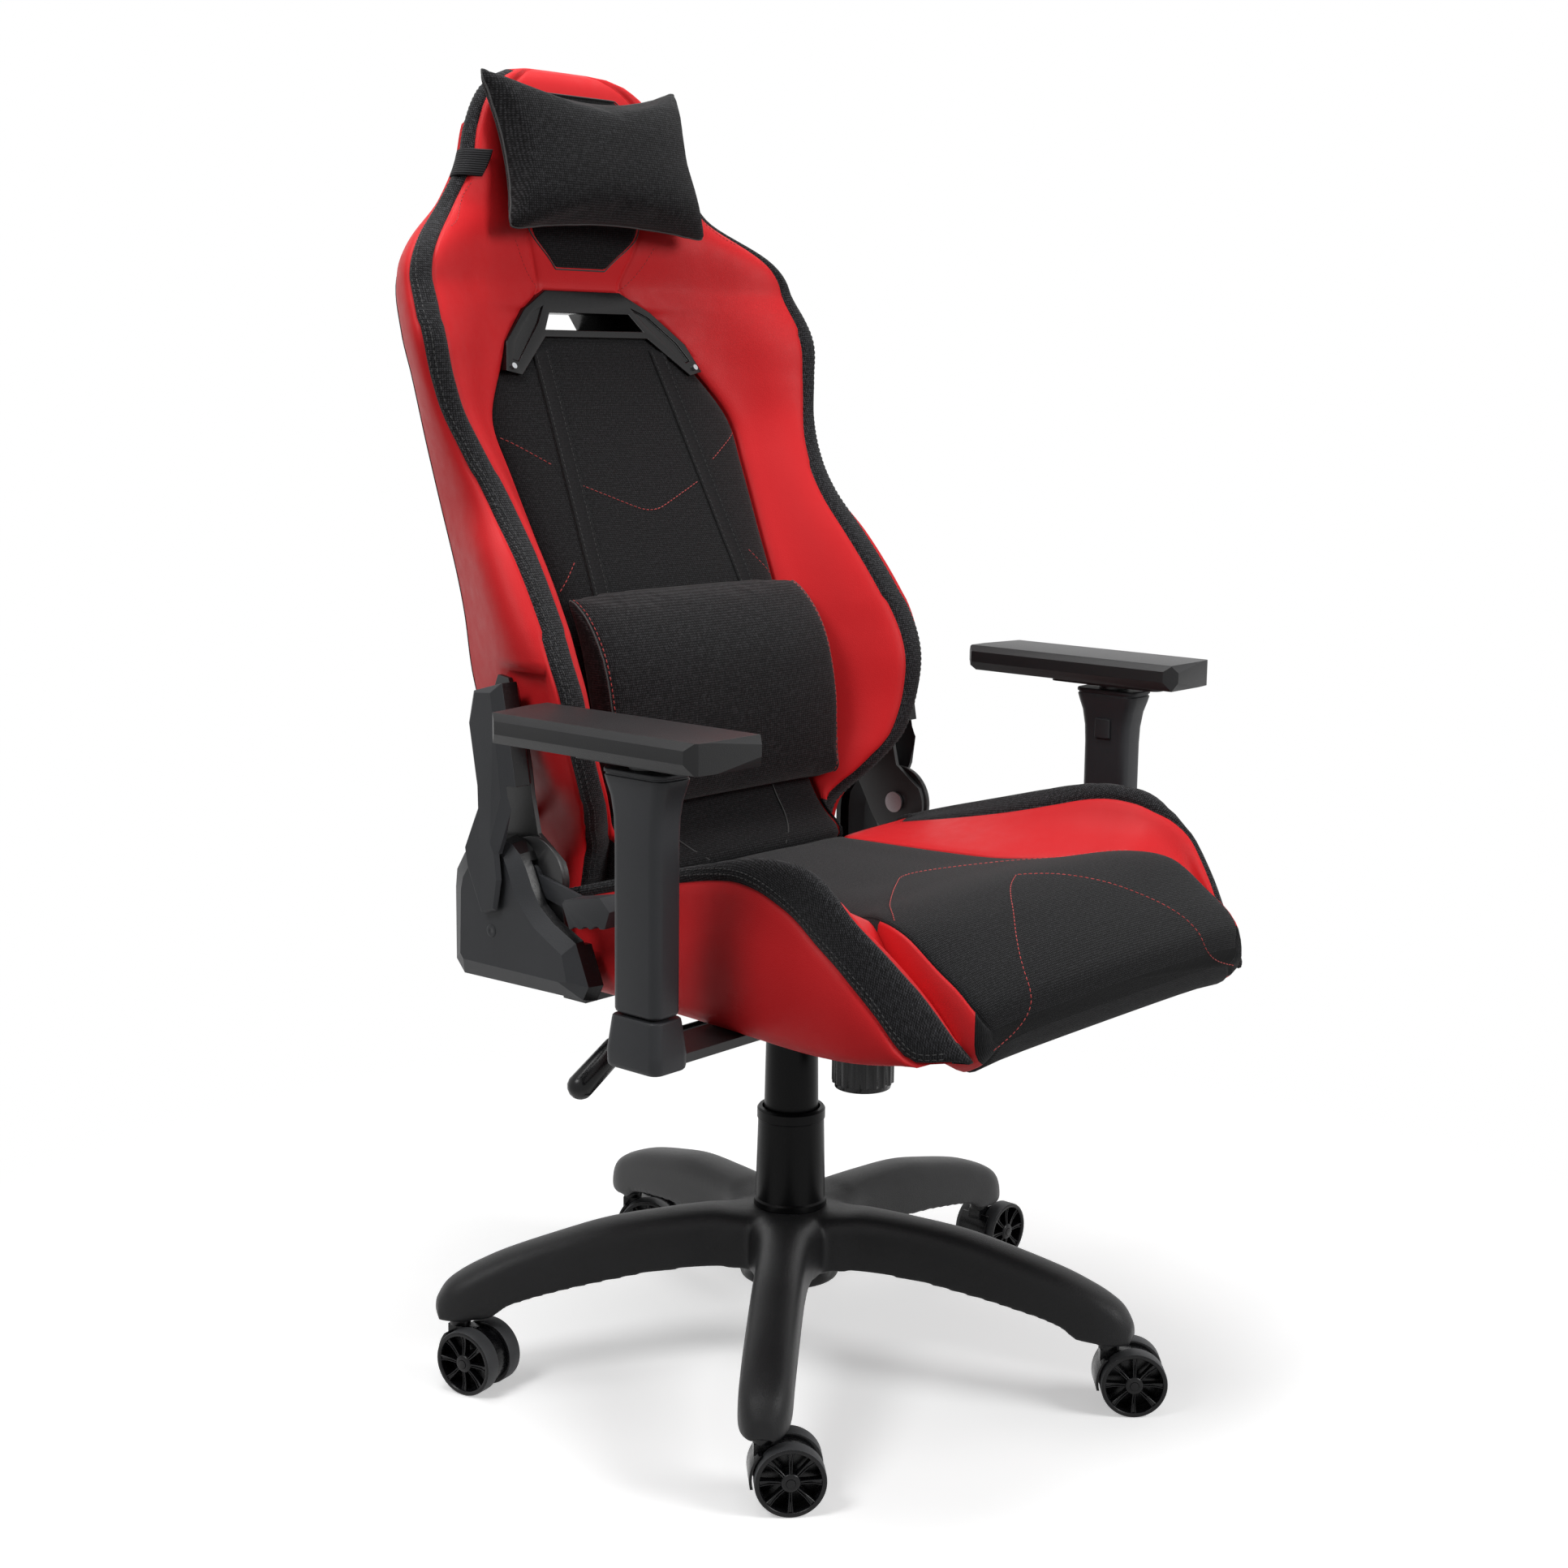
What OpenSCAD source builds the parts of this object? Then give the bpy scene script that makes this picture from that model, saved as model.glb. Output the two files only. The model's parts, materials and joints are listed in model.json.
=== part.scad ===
// Racing-style swivel chair: bucket seat and reclining back on a gas column and a five-arm castor base.
// Origin on the floor under the column, +Z up, the sitter faces -Y and the sitter's right hand is at -X.

/* [Base] */
// Height of the hub's top face above the floor
hub_top = 156; // [150:1:165]
// Diameter of the hub
hub_dia = 96; // [90:1:110]
// Reach of an arm from the column's axis
arm_reach = 350; // [345:1:360]
// Circle radius of the castor stems
stem_circle = 327; // [322:1:330]
// Width of an arm
arm_w = 48; // [40:1:54]
// Height of the rounded upper part of an arm
arm_crown = 17; // [12:1:20]
// Wall of an arm's hollow underside
arm_wall = 5; // [3:0.5:8]
// Turn of the base under the seat
star_turn = 1.2; // [0:0.1:10]

/* [Castors] */
// Diameter of a castor wheel
wheel_dia = 63; // [58:1:64]
// Width of one wheel
wheel_w = 17; // [14:1:20]
// Thickness of the web between two wheels
web_w = 15; // [14:1:18]
// Trail of the axle behind the stem
castor_trail = 22; // [18:1:24]
// Diameter of a stem
stem_dia = 11; // [10:0.5:12]
// Diameter of an axle
axle_dia = 8; // [6:0.5:9]
// Depth of the stem's socket in the base
socket_depth = 36; // [25:1:38]
// Spokes in a wheel
spokes = 8; // [6:1:10]

/* [Column] */
// Diameter of the gas lift's column tube
tube_dia = 50; // [48:0.5:50]
// Diameter of the gas lift's sliding cylinder
lift_dia = 28; // [26:0.5:30]
// Diameter of the gas lift's piston rod
rod_dia = 10; // [8:0.5:12]
// Travel of the gas lift
lift_travel = 80; // [60:5:85]
// Diameter of the lower cover's foot
cover_foot_dia = 72; // [70:1:76]
// Diameter of the lower cover under its ring
cover_dia = 65; // [64:0.5:67]
// Height of the lower cover
cover_h = 100; // [95:1:105]
// Diameter of the upper cover at its foot
sleeve_foot_dia = 56.4; // [55.8:0.2:57]
// Diameter of the upper cover at its top
sleeve_top_dia = 50; // [49:0.5:52]

/* [Mechanism] */
// Width of the mechanism housing
mech_w = 110; // [100:1:116]
// Depth of the housing under the seat plate
mech_h = 44; // [40:1:48]
// Thickness of the pressed steel
mech_t = 3; // [2:0.5:4]
// Place of the tilt axle behind the column
tilt_axle_y = 25; // [20:1:35]
// Diameter of the tilt axle
tilt_axle_dia = 12; // [10:1:14]
// Place of the tension knob in front of the column
knob_y = -90; // [-95:1:-86]
// Diameter of the tension knob
knob_dia = 60; // [54:1:62]
// Turns of the tilt spring
spring_turns = 5; // [4:1:6]
// Wire of the tilt spring
spring_wire = 5; // [3:0.5:6]
// Reach of the height lever from the column
lever_reach = 318; // [300:1:325]

/* [Seat] */
// Height of the cushion's underside above the floor
seat_base = 413; // [410:1:450]
// Length of the seat's front from the column
seat_front = 372; // [365:1:380]
// Thickness of the seat frame's rails
rail_h = 15; // [12:1:16]
// Width of the seat frame's rails
rail_w = 30; // [24:1:36]
// Distance between the middles of the side rails
rail_span = 300; // [280:1:320]

/* [Recliner] */
// Place of the recline pivot behind the column
pivot_y = 80; // [78:1:84]
// Height of the recline pivot above the cushion's underside
pivot_h = 102; // [100:1:106]
// Thickness of a recliner plate
plate_t = 5; // [4:0.5:5]
// Radius of the recliner's disc
disc_r = 38; // [34:1:42]
// Diameter of the pivot pin
pin_dia = 16; // [12:1:20]
// Distance from the middle of the chair to the inner recliner plate
plate_x = 257; // [257:0.5:260]
// Thickness of a side cover
cover_t = 30; // [26:1:32]
// Wall of a side cover
cover_wall = 3; // [2:0.5:4]

/* [Back] */
// Lean of the back panel from upright
back_lean = 25; // [24:0.5:26]
// Height of the back above the recline pivot
back_h = 746; // [740:1:752]
// Thickness of the back's middle cushion
pad_t = 44; // [42:1:46]
// Diameter of the back frame's tubes
frame_dia = 18; // [14:1:18]
// Distance between the back frame's uprights
frame_span = 264; // [256:1:268]
// Thickness of the rear shell
shell_t = 6; // [4:0.5:7]
// Width of a back strap
strap_w = 22; // [18:1:26]
// Thickness of a back strap
strap_t = 2; // [1:0.5:3]

/* [Head pillow] */
// Width of the head pillow across its ears
pillow_w = 284; // [260:4:300]
// Height of the head pillow across its ears
pillow_h = 162; // [150:2:170]
// Swell of the head pillow's front
pillow_t = 54; // [40:2:64]
// Width of the elastic strap
elastic_w = 26; // [20:1:32]

/* [Lumbar cushion] */
// Width of the lumbar cushion
lumbar_w = 336; // [300:2:340]

/* [Arms] */
// Distance from the middle of the chair to the middle of an arm pad
arm_x = 342; // [336:1:350]
// Place of the arm posts in front of the column
arm_y = -136; // [-140:1:-130]
// Length of an arm pad
pad_l = 256; // [240:1:270]
// Width of an arm pad
pad_w = 84; // [80:1:100]
// Thickness of an arm pad
pad_h = 26; // [22:1:30]
// Width of a post across the chair
post_w = 34; // [32:1:40]
// Width of a post along the chair
post_d = 58; // [54:1:62]
// Height of a post
post_h = 205; // [190:1:215]
// Travel of an arm post
post_travel = 70; // [50:5:80]

/* [Fits] */
// Radial clearance of a turning fit
fit = 0.05; // [0.02:0.01:0.09]
// Clearance of a sliding fit
slide_fit = 0.4; // [0.2:0.05:0.6]
// Gap beside a soft piece that moves
soft_gap = 1; // [0.5:0.1:2]

/* [Hidden] */

steel = "#1c1c1e";
bright = "#b8babd";
nylon = "#232325";
satin = "#3a3b3e";
red = "#c9262b";
cloth = "#1b1b1d";
fine = 48;
arms = 5;
// rest direction of each castor's trail, round the chair
trail_turn = [0, -59, -80, -44, -49];

// ---------- curves and skins ----------
function seg(t, p, i = 0) = i >= len(t) - 2 || p < t[i + 1][0] ? i : seg(t, p, i + 1);
function slope(t, i) = let (a = max(i - 1, 0), b = min(i + 1, len(t) - 1))
    (t[b][1] - t[a][1]) / (t[b][0] - t[a][0]);
// Smooth value at p through a table of [place, value] rows
function smooth(t, p) = let (i = seg(t, p), h = t[i + 1][0] - t[i][0],
    s = min(max((p - t[i][0]) / h, 0), 1))
    t[i][1] * (1 + 2 * s) * (1 - s) * (1 - s) + slope(t, i) * h * s * (1 - s) * (1 - s)
    + t[i + 1][1] * s * s * (3 - 2 * s) - slope(t, i + 1) * h * s * s * (1 - s);
function mid(ring) = [for (k = [0:2]) let (v = [for (p = ring) p[k]])
    (max(v) + min(v)) / 2];

// Closed skin over rings with equal counts of points. Each end is closed by a fan, or by a strip
// that joins a ring's first half to its second
module skin(rings, strip = false) {
    n = len(rings[0]);
    m = len(rings);
    points = [for (r = rings) each r, if (!strip) each [mid(rings[0]), mid(rings[m - 1])]];
    sides = [for (i = [0:m - 2]) for (j = [0:n - 1])
        let (a = i * n + j, b = i * n + (j + 1) % n) each [[a, b, b + n], [a, b + n, a + n]]];
    last = (m - 1) * n;
    fans = [for (j = [0:n - 1]) let (k = (j + 1) % n)
        each [[m * n, k, j], [m * n + 1, last + j, last + k]]];
    strips = [for (j = [0:n / 2 - 2]) let (a = n - 2 - j, b = n - 1 - j)
        each [[j, a, j + 1], [j, b, a], [last + j, last + j + 1, last + a], [last + j, last + a, last + b]]];
    ends = strip ? strips : fans;
    polyhedron(points = points, faces = concat(sides, ends), convexity = 8);
}

// Crowned cushion: w wide, h high, swelling by front and rear from its seam, whose edges are drawn in
module cushion(w, h, front_t, rear_t, nu, nv, draw_u, draw_top, draw_low, edge) {
    function at(u, v, side) = [
        w / 2 * u * (1 - draw_u * (1 - v * v) * abs(u)),
        h / 2 * v * (1 - (v > 0 ? draw_top : draw_low) * (1 - u * u)),
        side * (edge + ((side > 0 ? front_t : rear_t) - edge)
            * pow((1 - pow(abs(u), 2.6)) * (1 - pow(abs(v), 2.2)), 0.5))];
    cols = nu + 1;
    grid = cols * (nv + 1);
    points = concat(
        [for (j = [0:nv]) for (i = [0:nu]) at(-1 + 2 * i / nu, -1 + 2 * j / nv, 1)],
        [for (j = [0:nv]) for (i = [0:nu]) at(-1 + 2 * i / nu, -1 + 2 * j / nv, -1)]);
    rim = concat([for (i = [0:nu - 1]) i], [for (j = [0:nv - 1]) j * cols + nu],
        [for (i = [nu:-1:1]) nv * cols + i], [for (j = [nv:-1:1]) j * cols]);
    front = [for (j = [0:nv - 1]) for (i = [0:nu - 1]) let (a = j * cols + i)
        each [[a, a + cols, a + cols + 1], [a, a + cols + 1, a + 1]]];
    rear = [for (f = front) [f[2] + grid, f[1] + grid, f[0] + grid]];
    band = [for (k = [0:len(rim) - 1]) let (a = rim[k], b = rim[(k + 1) % len(rim)])
        each [[a, b, b + grid], [a, b + grid, a + grid]]];
    polyhedron(points = points, faces = concat(front, rear, band), convexity = 4);
}

// Slab with rounded upright corners, standing on z = 0
module rounded_slab(x, y, z, r) {
    linear_extrude(height = z) rounded_rect(x, y, r);
}
module rounded_rect(x, y, r) {
    union() {
        square([x - 2 * r, y], center = true);
        square([x, y - 2 * r], center = true);
        for (sx = [-1, 1]) for (sy = [-1, 1])
            translate([sx * (x / 2 - r), sy * (y / 2 - r)]) circle(r = r, $fn = 32);
    }
}
// Prism over an outline in the side view (y, z), from x0 outward over t
module side_prism(outline, x0, t) {
    translate([x0, 0, 0]) rotate([90, 0, 90]) linear_extrude(height = t) polygon(outline);
}
// Prism over an outline in the front view (x, z), from y0 back over t
module front_prism(outline, y0, t) {
    translate([0, y0 + t, 0]) rotate([90, 0, 0]) linear_extrude(height = t) polygon(outline);
}
module x_rod(r, x0, x1, y, z) {
    translate([x0, y, z]) rotate([0, 90, 0]) cylinder(r = r, h = x1 - x0, $fn = fine);
}
module both_sides() {
    children();
    mirror([1, 0, 0]) children();
}

// ---------- base ----------
tube_r = tube_dia / 2;
tube_top = hub_top + 82;
tube_foot = 86;
arm_end_top = 100;
arm_end_foot = wheel_dia + 4.5;
wheel_r = wheel_dia / 2;
stem_r = stem_dia / 2;
// stations of an arm's top and underside: [radius, height]
arm_top = [[30, hub_top - 1], [180, hub_top - 4], [260, hub_top - 20], [stem_circle, arm_end_top + 10],
    [arm_reach - arm_crown, arm_end_top - 2]];
arm_under = [[0, 83], [130, 94], [200, 92], [270, 82], [300, arm_end_foot], [arm_reach, arm_end_foot]];

module star_arm() {
    difference() {
        hull() {
            for (s = arm_top) {
                for (side = [-1, 1])
                    translate([s[0], side * (arm_w / 2 - arm_crown), s[1] - arm_crown])
                        sphere(r = arm_crown, $fn = 16);
                translate([s[0], 0, (s[1] - arm_crown + arm_end_foot) / 2])
                    cube([2, arm_w, s[1] - arm_crown - arm_end_foot], center = true);
            }
            translate([arm_reach - 2, 0, arm_end_foot + 8]) cube([4, arm_w - 14, 16], center = true);
        }
        // hollowed, arched underside
        translate([0, arm_w, 0]) rotate([90, 0, 0]) linear_extrude(height = 2 * arm_w)
            polygon(concat([[0, 0]], arm_under, [[arm_reach + 9, arm_end_foot], [arm_reach + 9, 0]]));
        translate([0, arm_w / 2 - arm_wall, 0]) rotate([90, 0, 0])
            linear_extrude(height = arm_w - 2 * arm_wall)
            polygon([[60, 60], [60, 118], [200, 114], [260, 106], [stem_circle - 20, 96],
                [stem_circle - 20, 60]]);
    }
    // cross ribs in the hollow
    for (r = [100, 150, 200, 250])
        translate([r, 0, 105]) cube([3, arm_w - 2 * arm_wall + 0.2, 16], center = true);
}
module base_star() color(nylon) difference() {
    union() {
        for (k = [0:arms - 1]) rotate(star_turn + 360 / arms * k) star_arm();
        translate([0, 0, 83]) cylinder(d = hub_dia, h = hub_top - 83, $fn = 64);
    }
    translate([0, 0, 80]) cylinder(r = tube_r + fit, h = hub_top, $fn = 64);
    for (k = [0:arms - 1]) rotate(star_turn + 360 / arms * k)
        translate([stem_circle, 0, arm_end_foot - 5])
            cylinder(r = stem_r + fit, h = socket_depth + 5, $fn = fine);
}
stem_foot = 52;
module castor_stems() color(bright) for (k = [0:arms - 1]) rotate(star_turn + 360 / arms * k)
    translate([stem_circle, 0, stem_foot]) difference() {
        cylinder(r = stem_r, h = arm_end_foot + socket_depth - 1 - stem_foot, $fn = fine);
        // grip ring groove
        translate([0, 0, 30]) difference() {
            cylinder(r = stem_r + 1, h = 3, $fn = fine);
            translate([0, 0, -1]) cylinder(r = stem_r - 1, h = 5, $fn = fine);
        }
    }

// ---------- castors ----------
module at_castor(k) rotate(star_turn + 360 / arms * k) translate([stem_circle, 0, 0])
    rotate(trail_turn[k] - star_turn - 360 / arms * k) children();
module castor_yoke(k) color(nylon) at_castor(k) difference() {
    union() {
        translate([castor_trail, web_w / 2, wheel_r]) rotate([90, 0, 0])
            cylinder(r = wheel_r - 4, h = web_w, $fn = fine);
        // neck from the stem to the web
        translate([-stem_r - 3.5, -web_w / 2, wheel_r]) cube([30, web_w, wheel_dia - wheel_r - 3]);
        translate([0, 0, wheel_dia - 3]) cylinder(r = stem_r + 4.5, h = 5, $fn = fine);
        // hood over the stem side of the wheels
        intersection() {
            translate([castor_trail, web_w / 2 + 10, wheel_r]) rotate([90, 0, 0])
                difference() {
                    cylinder(r = wheel_r + 4, h = web_w + 20, $fn = fine);
                    translate([0, 0, -1]) cylinder(r = wheel_r + 1.5, h = web_w + 22, $fn = fine);
                }
            translate([-40, -30, wheel_r - 8]) cube([48, 60, 30.5]);
        }
        // fixed axle
        translate([castor_trail, web_w / 2 + wheel_w + 1, wheel_r]) rotate([90, 0, 0])
            cylinder(r = axle_dia / 2, h = web_w + 2 * wheel_w + 2, $fn = fine);
    }
    translate([0, 0, stem_foot - 0.2]) cylinder(r = stem_r + fit, h = 30, $fn = fine);
}
module castor_wheel(k, side) color(nylon) at_castor(k)
    translate([castor_trail, side * (web_w / 2 + 0.5), wheel_r]) rotate([-90 * side, 0, 0]) difference() {
        union() {
            difference() {
                cylinder(r = wheel_r, h = wheel_w, $fn = 72);
                translate([0, 0, 3]) cylinder(r = wheel_r - 5, h = wheel_w, $fn = 72);
            }
            cylinder(r = 9, h = wheel_w, $fn = fine);
            for (i = [0:spokes - 1]) rotate(360 / spokes * i)
                translate([8, -1.5, 0]) cube([wheel_r - 12, 3, wheel_w - 1.5]);
        }
        translate([0, 0, -1]) cylinder(r = axle_dia / 2 + fit, h = wheel_w + 2, $fn = fine);
    }

// ---------- column ----------
lift_r = lift_dia / 2;
rod_r = rod_dia / 2;
mech_top = seat_base - rail_h - mech_t - 1.05;
mech_foot = mech_top - mech_h + 4;
piston_r = lift_r - 3;
piston_z = tube_top + 46;
module gas_tube() color(steel) difference() {
    translate([0, 0, tube_foot]) cylinder(r = tube_r, h = tube_top - tube_foot, $fn = 64);
    // wide chamber, guide bush above it, hole for the rod's clip below it
    translate([0, 0, tube_foot + 6]) cylinder(r = tube_r - 4, h = 46, $fn = 64);
    translate([0, 0, tube_foot + 50]) cylinder(r = lift_r + fit, h = tube_top, $fn = 64);
    translate([0, 0, tube_foot - 1]) cylinder(r = rod_r + fit, h = 9, $fn = fine);
}
module thrust_bearing() color(bright) translate([0, 0, tube_foot + 6.1]) difference() {
    cylinder(r = 12, h = 5, $fn = fine);
    translate([0, 0, -1]) cylinder(r = rod_r + fit, h = 7, $fn = fine);
}
module piston_rod() color(bright) {
    translate([0, 0, tube_foot - 3]) cylinder(r = rod_r, h = piston_z - tube_foot + 3, $fn = fine);
    translate([0, 0, tube_foot + 11.2]) cylinder(r = rod_r + 2, h = 3, $fn = fine);
    translate([0, 0, piston_z]) cylinder(r = piston_r - fit, h = 12, $fn = fine);
    // clip ring under the column tube
    translate([0, 0, tube_foot - 2.2]) cylinder(r = rod_r + 2.5, h = 2, $fn = fine);
}
cylinder_foot = tube_foot + 22;
module lift_cylinder() color(steel) difference() {
    translate([0, 0, cylinder_foot]) cylinder(r = lift_r, h = mech_top - 2 - cylinder_foot, $fn = 64);
    translate([0, 0, cylinder_foot + 10])
        cylinder(r = piston_r, h = mech_top - cylinder_foot - 80, $fn = fine);
    translate([0, 0, cylinder_foot - 1]) cylinder(r = rod_r + fit, h = 12, $fn = fine);
}
module lower_cover() color(nylon) translate([0, 0, hub_top]) rotate_extrude($fn = 72) polygon([
    [cover_foot_dia / 2 - 5, 0], [cover_foot_dia / 2, 0], [cover_foot_dia / 2, 6],
    [cover_foot_dia / 2 - 1.5, 8], [cover_dia / 2, cover_h - 12], [cover_dia / 2 + 1, cover_h - 11],
    [cover_dia / 2 + 1, cover_h - 2], [cover_dia / 2 - 0.5, cover_h],
    [sleeve_foot_dia / 2 + slide_fit, cover_h], [sleeve_foot_dia / 2 + slide_fit, cover_h - 3],
    [cover_dia / 2 - 2, cover_h - 5]]);
sleeve_foot = hub_top + 9;
sleeve_wall = 1.5;
module upper_cover() color(nylon) rotate_extrude($fn = 72) polygon([
    [sleeve_foot_dia / 2 - sleeve_wall, sleeve_foot], [sleeve_foot_dia / 2, sleeve_foot],
    [sleeve_top_dia / 2, mech_foot], [lift_r + 1, mech_foot], [lift_r + 1, mech_foot - 3],
    [sleeve_top_dia / 2 - sleeve_wall, mech_foot - 3]]);

// ---------- mechanism ----------
tilt_z = mech_top - 12;
knob_top = mech_foot - 5;
knob_foot = knob_top - 54;
housing_front = knob_y - knob_dia / 2 + 4;
housing_profile = [[housing_front, mech_top - 16], [knob_y + knob_dia / 2 + 2, mech_top - 16],
    [knob_y + knob_dia / 2 + 4, mech_foot], [45, mech_foot], [74, mech_foot + 14], [74, mech_top - 15],
    [tilt_axle_y, mech_top - 4], [housing_front, mech_top - 4]];
module housing_shape(w) translate([-w / 2, 0, 0]) side_prism(housing_profile, 0, w);
module mech_housing() color(steel) difference() {
    union() {
        difference() {
            housing_shape(mech_w);
            // open inside, the pressed wall stays
            translate([0, 0, mech_t]) housing_shape(mech_w - 2 * mech_t);
            translate([0, 0, mech_t + 8]) housing_shape(mech_w - 2 * mech_t);
        }
        // socket for the gas cylinder
        translate([0, 0, mech_foot]) cylinder(r = lift_r + 6, h = mech_top - mech_foot - 8, $fn = 64);
        // guide for the lock slider
        translate([-mech_w / 2 + mech_t - 0.1, slider_y - 17, mech_foot + 1]) cube([24, 34, 7]);
    }
    translate([0, 0, mech_foot - 1]) cylinder(r = lift_r + fit, h = mech_h + 5, $fn = 64);
    x_rod(tilt_axle_dia / 2 + fit, -mech_w, mech_w, tilt_axle_y, tilt_z);
    translate([0, knob_y, 0]) cylinder(r = 8, h = seat_base, $fn = fine);
    // window for the lever
    translate([-mech_w / 2 - 5, slider_y - 11, mech_foot + 8]) cube([30, 22, 40]);
}
module tilt_axle() color(bright)
    x_rod(tilt_axle_dia / 2, -mech_w / 2 - 8, mech_w / 2 + 8, tilt_axle_y, tilt_z);
module mech_plate() color(steel) difference() {
    union() {
        translate([-rail_span / 2 - rail_w / 2, knob_y - 45, mech_top]) cube([rail_span + rail_w, 200, mech_t + 1]);
        both_sides() side_prism([[tilt_axle_y - 20, mech_top + 1], [tilt_axle_y - 9, tilt_z - 9],
            [tilt_axle_y + 9, tilt_z - 9], [tilt_axle_y + 20, mech_top + 1]],
            mech_w / 2 + 1, mech_t);
    }
    x_rod(tilt_axle_dia / 2 + fit, -mech_w, mech_w, tilt_axle_y, tilt_z);
    // bolt of the tension knob
    translate([0, knob_y, mech_top - 1]) cylinder(r = 5, h = 9, $fn = fine);
}
module tension_knob() color(nylon) translate([0, knob_y, 0]) {
    difference() {
        union() {
            // grip ribs
            translate([0, 0, knob_foot + 5]) linear_extrude(height = 49) polygon([for (i = [0:71])
                let (r = knob_dia / 2 - (i % 4 < 2 ? 0 : 1.4)) [r * cos(5 * i), r * sin(5 * i)]]);
            translate([0, 0, knob_foot]) cylinder(r = knob_dia / 2 - 3, h = 6, $fn = 72);
        }
        translate([0, 0, knob_foot + 20]) cylinder(r = knob_dia / 2 - 8, h = 60, $fn = fine);
    }
    // bolt up through the housing into the seat plate
    translate([0, 0, knob_foot + 19]) cylinder(r = 5 - fit, h = mech_top + mech_t - knob_foot - 19, $fn = fine);
}
spring_r = 15;
spring_z = knob_foot + 20 + spring_wire / 2 + 0.3;
spring_top = mech_top - 16 - spring_wire / 2 - 0.3;
echo("tension_spring least gap between turns", (spring_top - spring_z) / spring_turns - spring_wire);
module tension_spring() color(bright) translate([0, knob_y, 0]) {
    steps = spring_turns * 14;
    rings = [for (i = [0:steps]) let (a = i * 360 / 14, z = spring_z + (spring_top - spring_z) * i / steps)
        [for (j = [0:5]) let (b = -60 * j, r = spring_r + spring_wire / 2 * cos(b))
            [r * cos(a), r * sin(a), z + spring_wire / 2 * sin(b)]]];
    skin(rings);
}
slider_y = -20;
lever_z = mech_foot + 20;
lever_pin_x = -mech_w / 2 + 9;
module lock_slider() color(bright) difference() {
    translate([lever_pin_x - 5, slider_y - 10, mech_foot + 8.2]) cube([17, 20, 20]);
    // fork for the lever's flat end
    translate([lever_pin_x - 9, slider_y - 5.2, mech_foot + 8]) cube([17, 10.4, 30]);
    translate([lever_pin_x, slider_y - 11, lever_z]) rotate([-90, 0, 0]) cylinder(r = 3 + fit, h = 22, $fn = fine);
}
lever_drop = 38;
module lift_lever() color(nylon) {
    // rod with its pin
    translate([lever_pin_x, slider_y - 10, lever_z]) rotate([-90, 0, 0]) cylinder(r = 3, h = 20, $fn = fine);
    x_rod(4, -lever_reach + 58, lever_pin_x, slider_y, lever_z);
    // paddle, bent down and out
    hull() {
        translate([-lever_reach + 66, slider_y, lever_z]) sphere(r = 6, $fn = 16);
        translate([-lever_reach + 52, slider_y, lever_z + 1]) sphere(r = 10.5, $fn = 16);
        translate([-lever_reach + 12, slider_y, lever_z - lever_drop + 14]) sphere(r = 12, $fn = 16);
    }
}

// ---------- seat ----------
// Rows of [distance behind the column, size]
crest_z = [[-372, 22], [-360, 32], [-320, 84], [-280, 124], [-240, 152], [-200, 157], [-160, 152],
    [-80, 131], [0, 109], [60, 90], [70, 84]];
crest_x = [[-372, 196], [-360, 212], [-320, 245], [-280, 255], [-200, 250], [-100, 244], [0, 242], [70, 243]];
bolster_w = [[-372, 212], [-360, 232], [-320, 262], [-280, 271], [-200, 269], [-100, 262], [0, 255], [70, 254]];
seam_x = [[-372, 186], [-350, 200], [-300, 208], [-262, 196], [-205, 168], [-145, 140], [-100, 134],
    [44, 126]];
seam_z = [[-372, 24], [-360, 48], [-330, 84], [-300, 98], [-270, 103], [-210, 96], [-130, 91], [44, 88]];
crown_z = [[-372, 28], [-362, 48], [-332, 73], [-300, 94], [-263, 104], [-200, 99], [-131, 91], [44, 87]];
sole_z = [[-372, 20], [-362, 5], [-345, -3], [-300, 0], [44, 0]];
skirt_z = [[-372, 7], [-360, 1], [-345, -3], [-300, 0], [44, 0]];
horn_foot = 48;
horn_x = 234;
seat_rear = 44;
k_front = seat_front / 372;
seat_rows = [-372, -367, -358, -345, -325, -300, -270, -235, -200, -160, -120, -70, -20, 30, seat_rear];

function pad_ring(y) = let (x = smooth(seam_x, y), s = smooth(seam_z, y), c = smooth(crown_z, y),
    f = smooth(sole_z, y), yy = y < 0 ? y * k_front : y)
    [for (p = [[-1, s * 0.2 + f * 0.8], [-1, s * 0.6 + f * 0.4], [-1, s], [-0.82, (s * 0.6 + c * 0.4) + 2], [-0.5, c + 1],
        [-0.2, c + 2], [0.2, c + 2], [0.5, c + 1], [0.82, (s * 0.6 + c * 0.4) + 2], [1, s],
        [1, s * 0.6 + f * 0.4], [1, s * 0.2 + f * 0.8], [0.9, f], [0, f], [-0.9, f]])
        [p[0] * x, yy, seat_base + p[1]]];
module seat_pad() color(cloth) skin([for (y = seat_rows) pad_ring(y)]);

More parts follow.
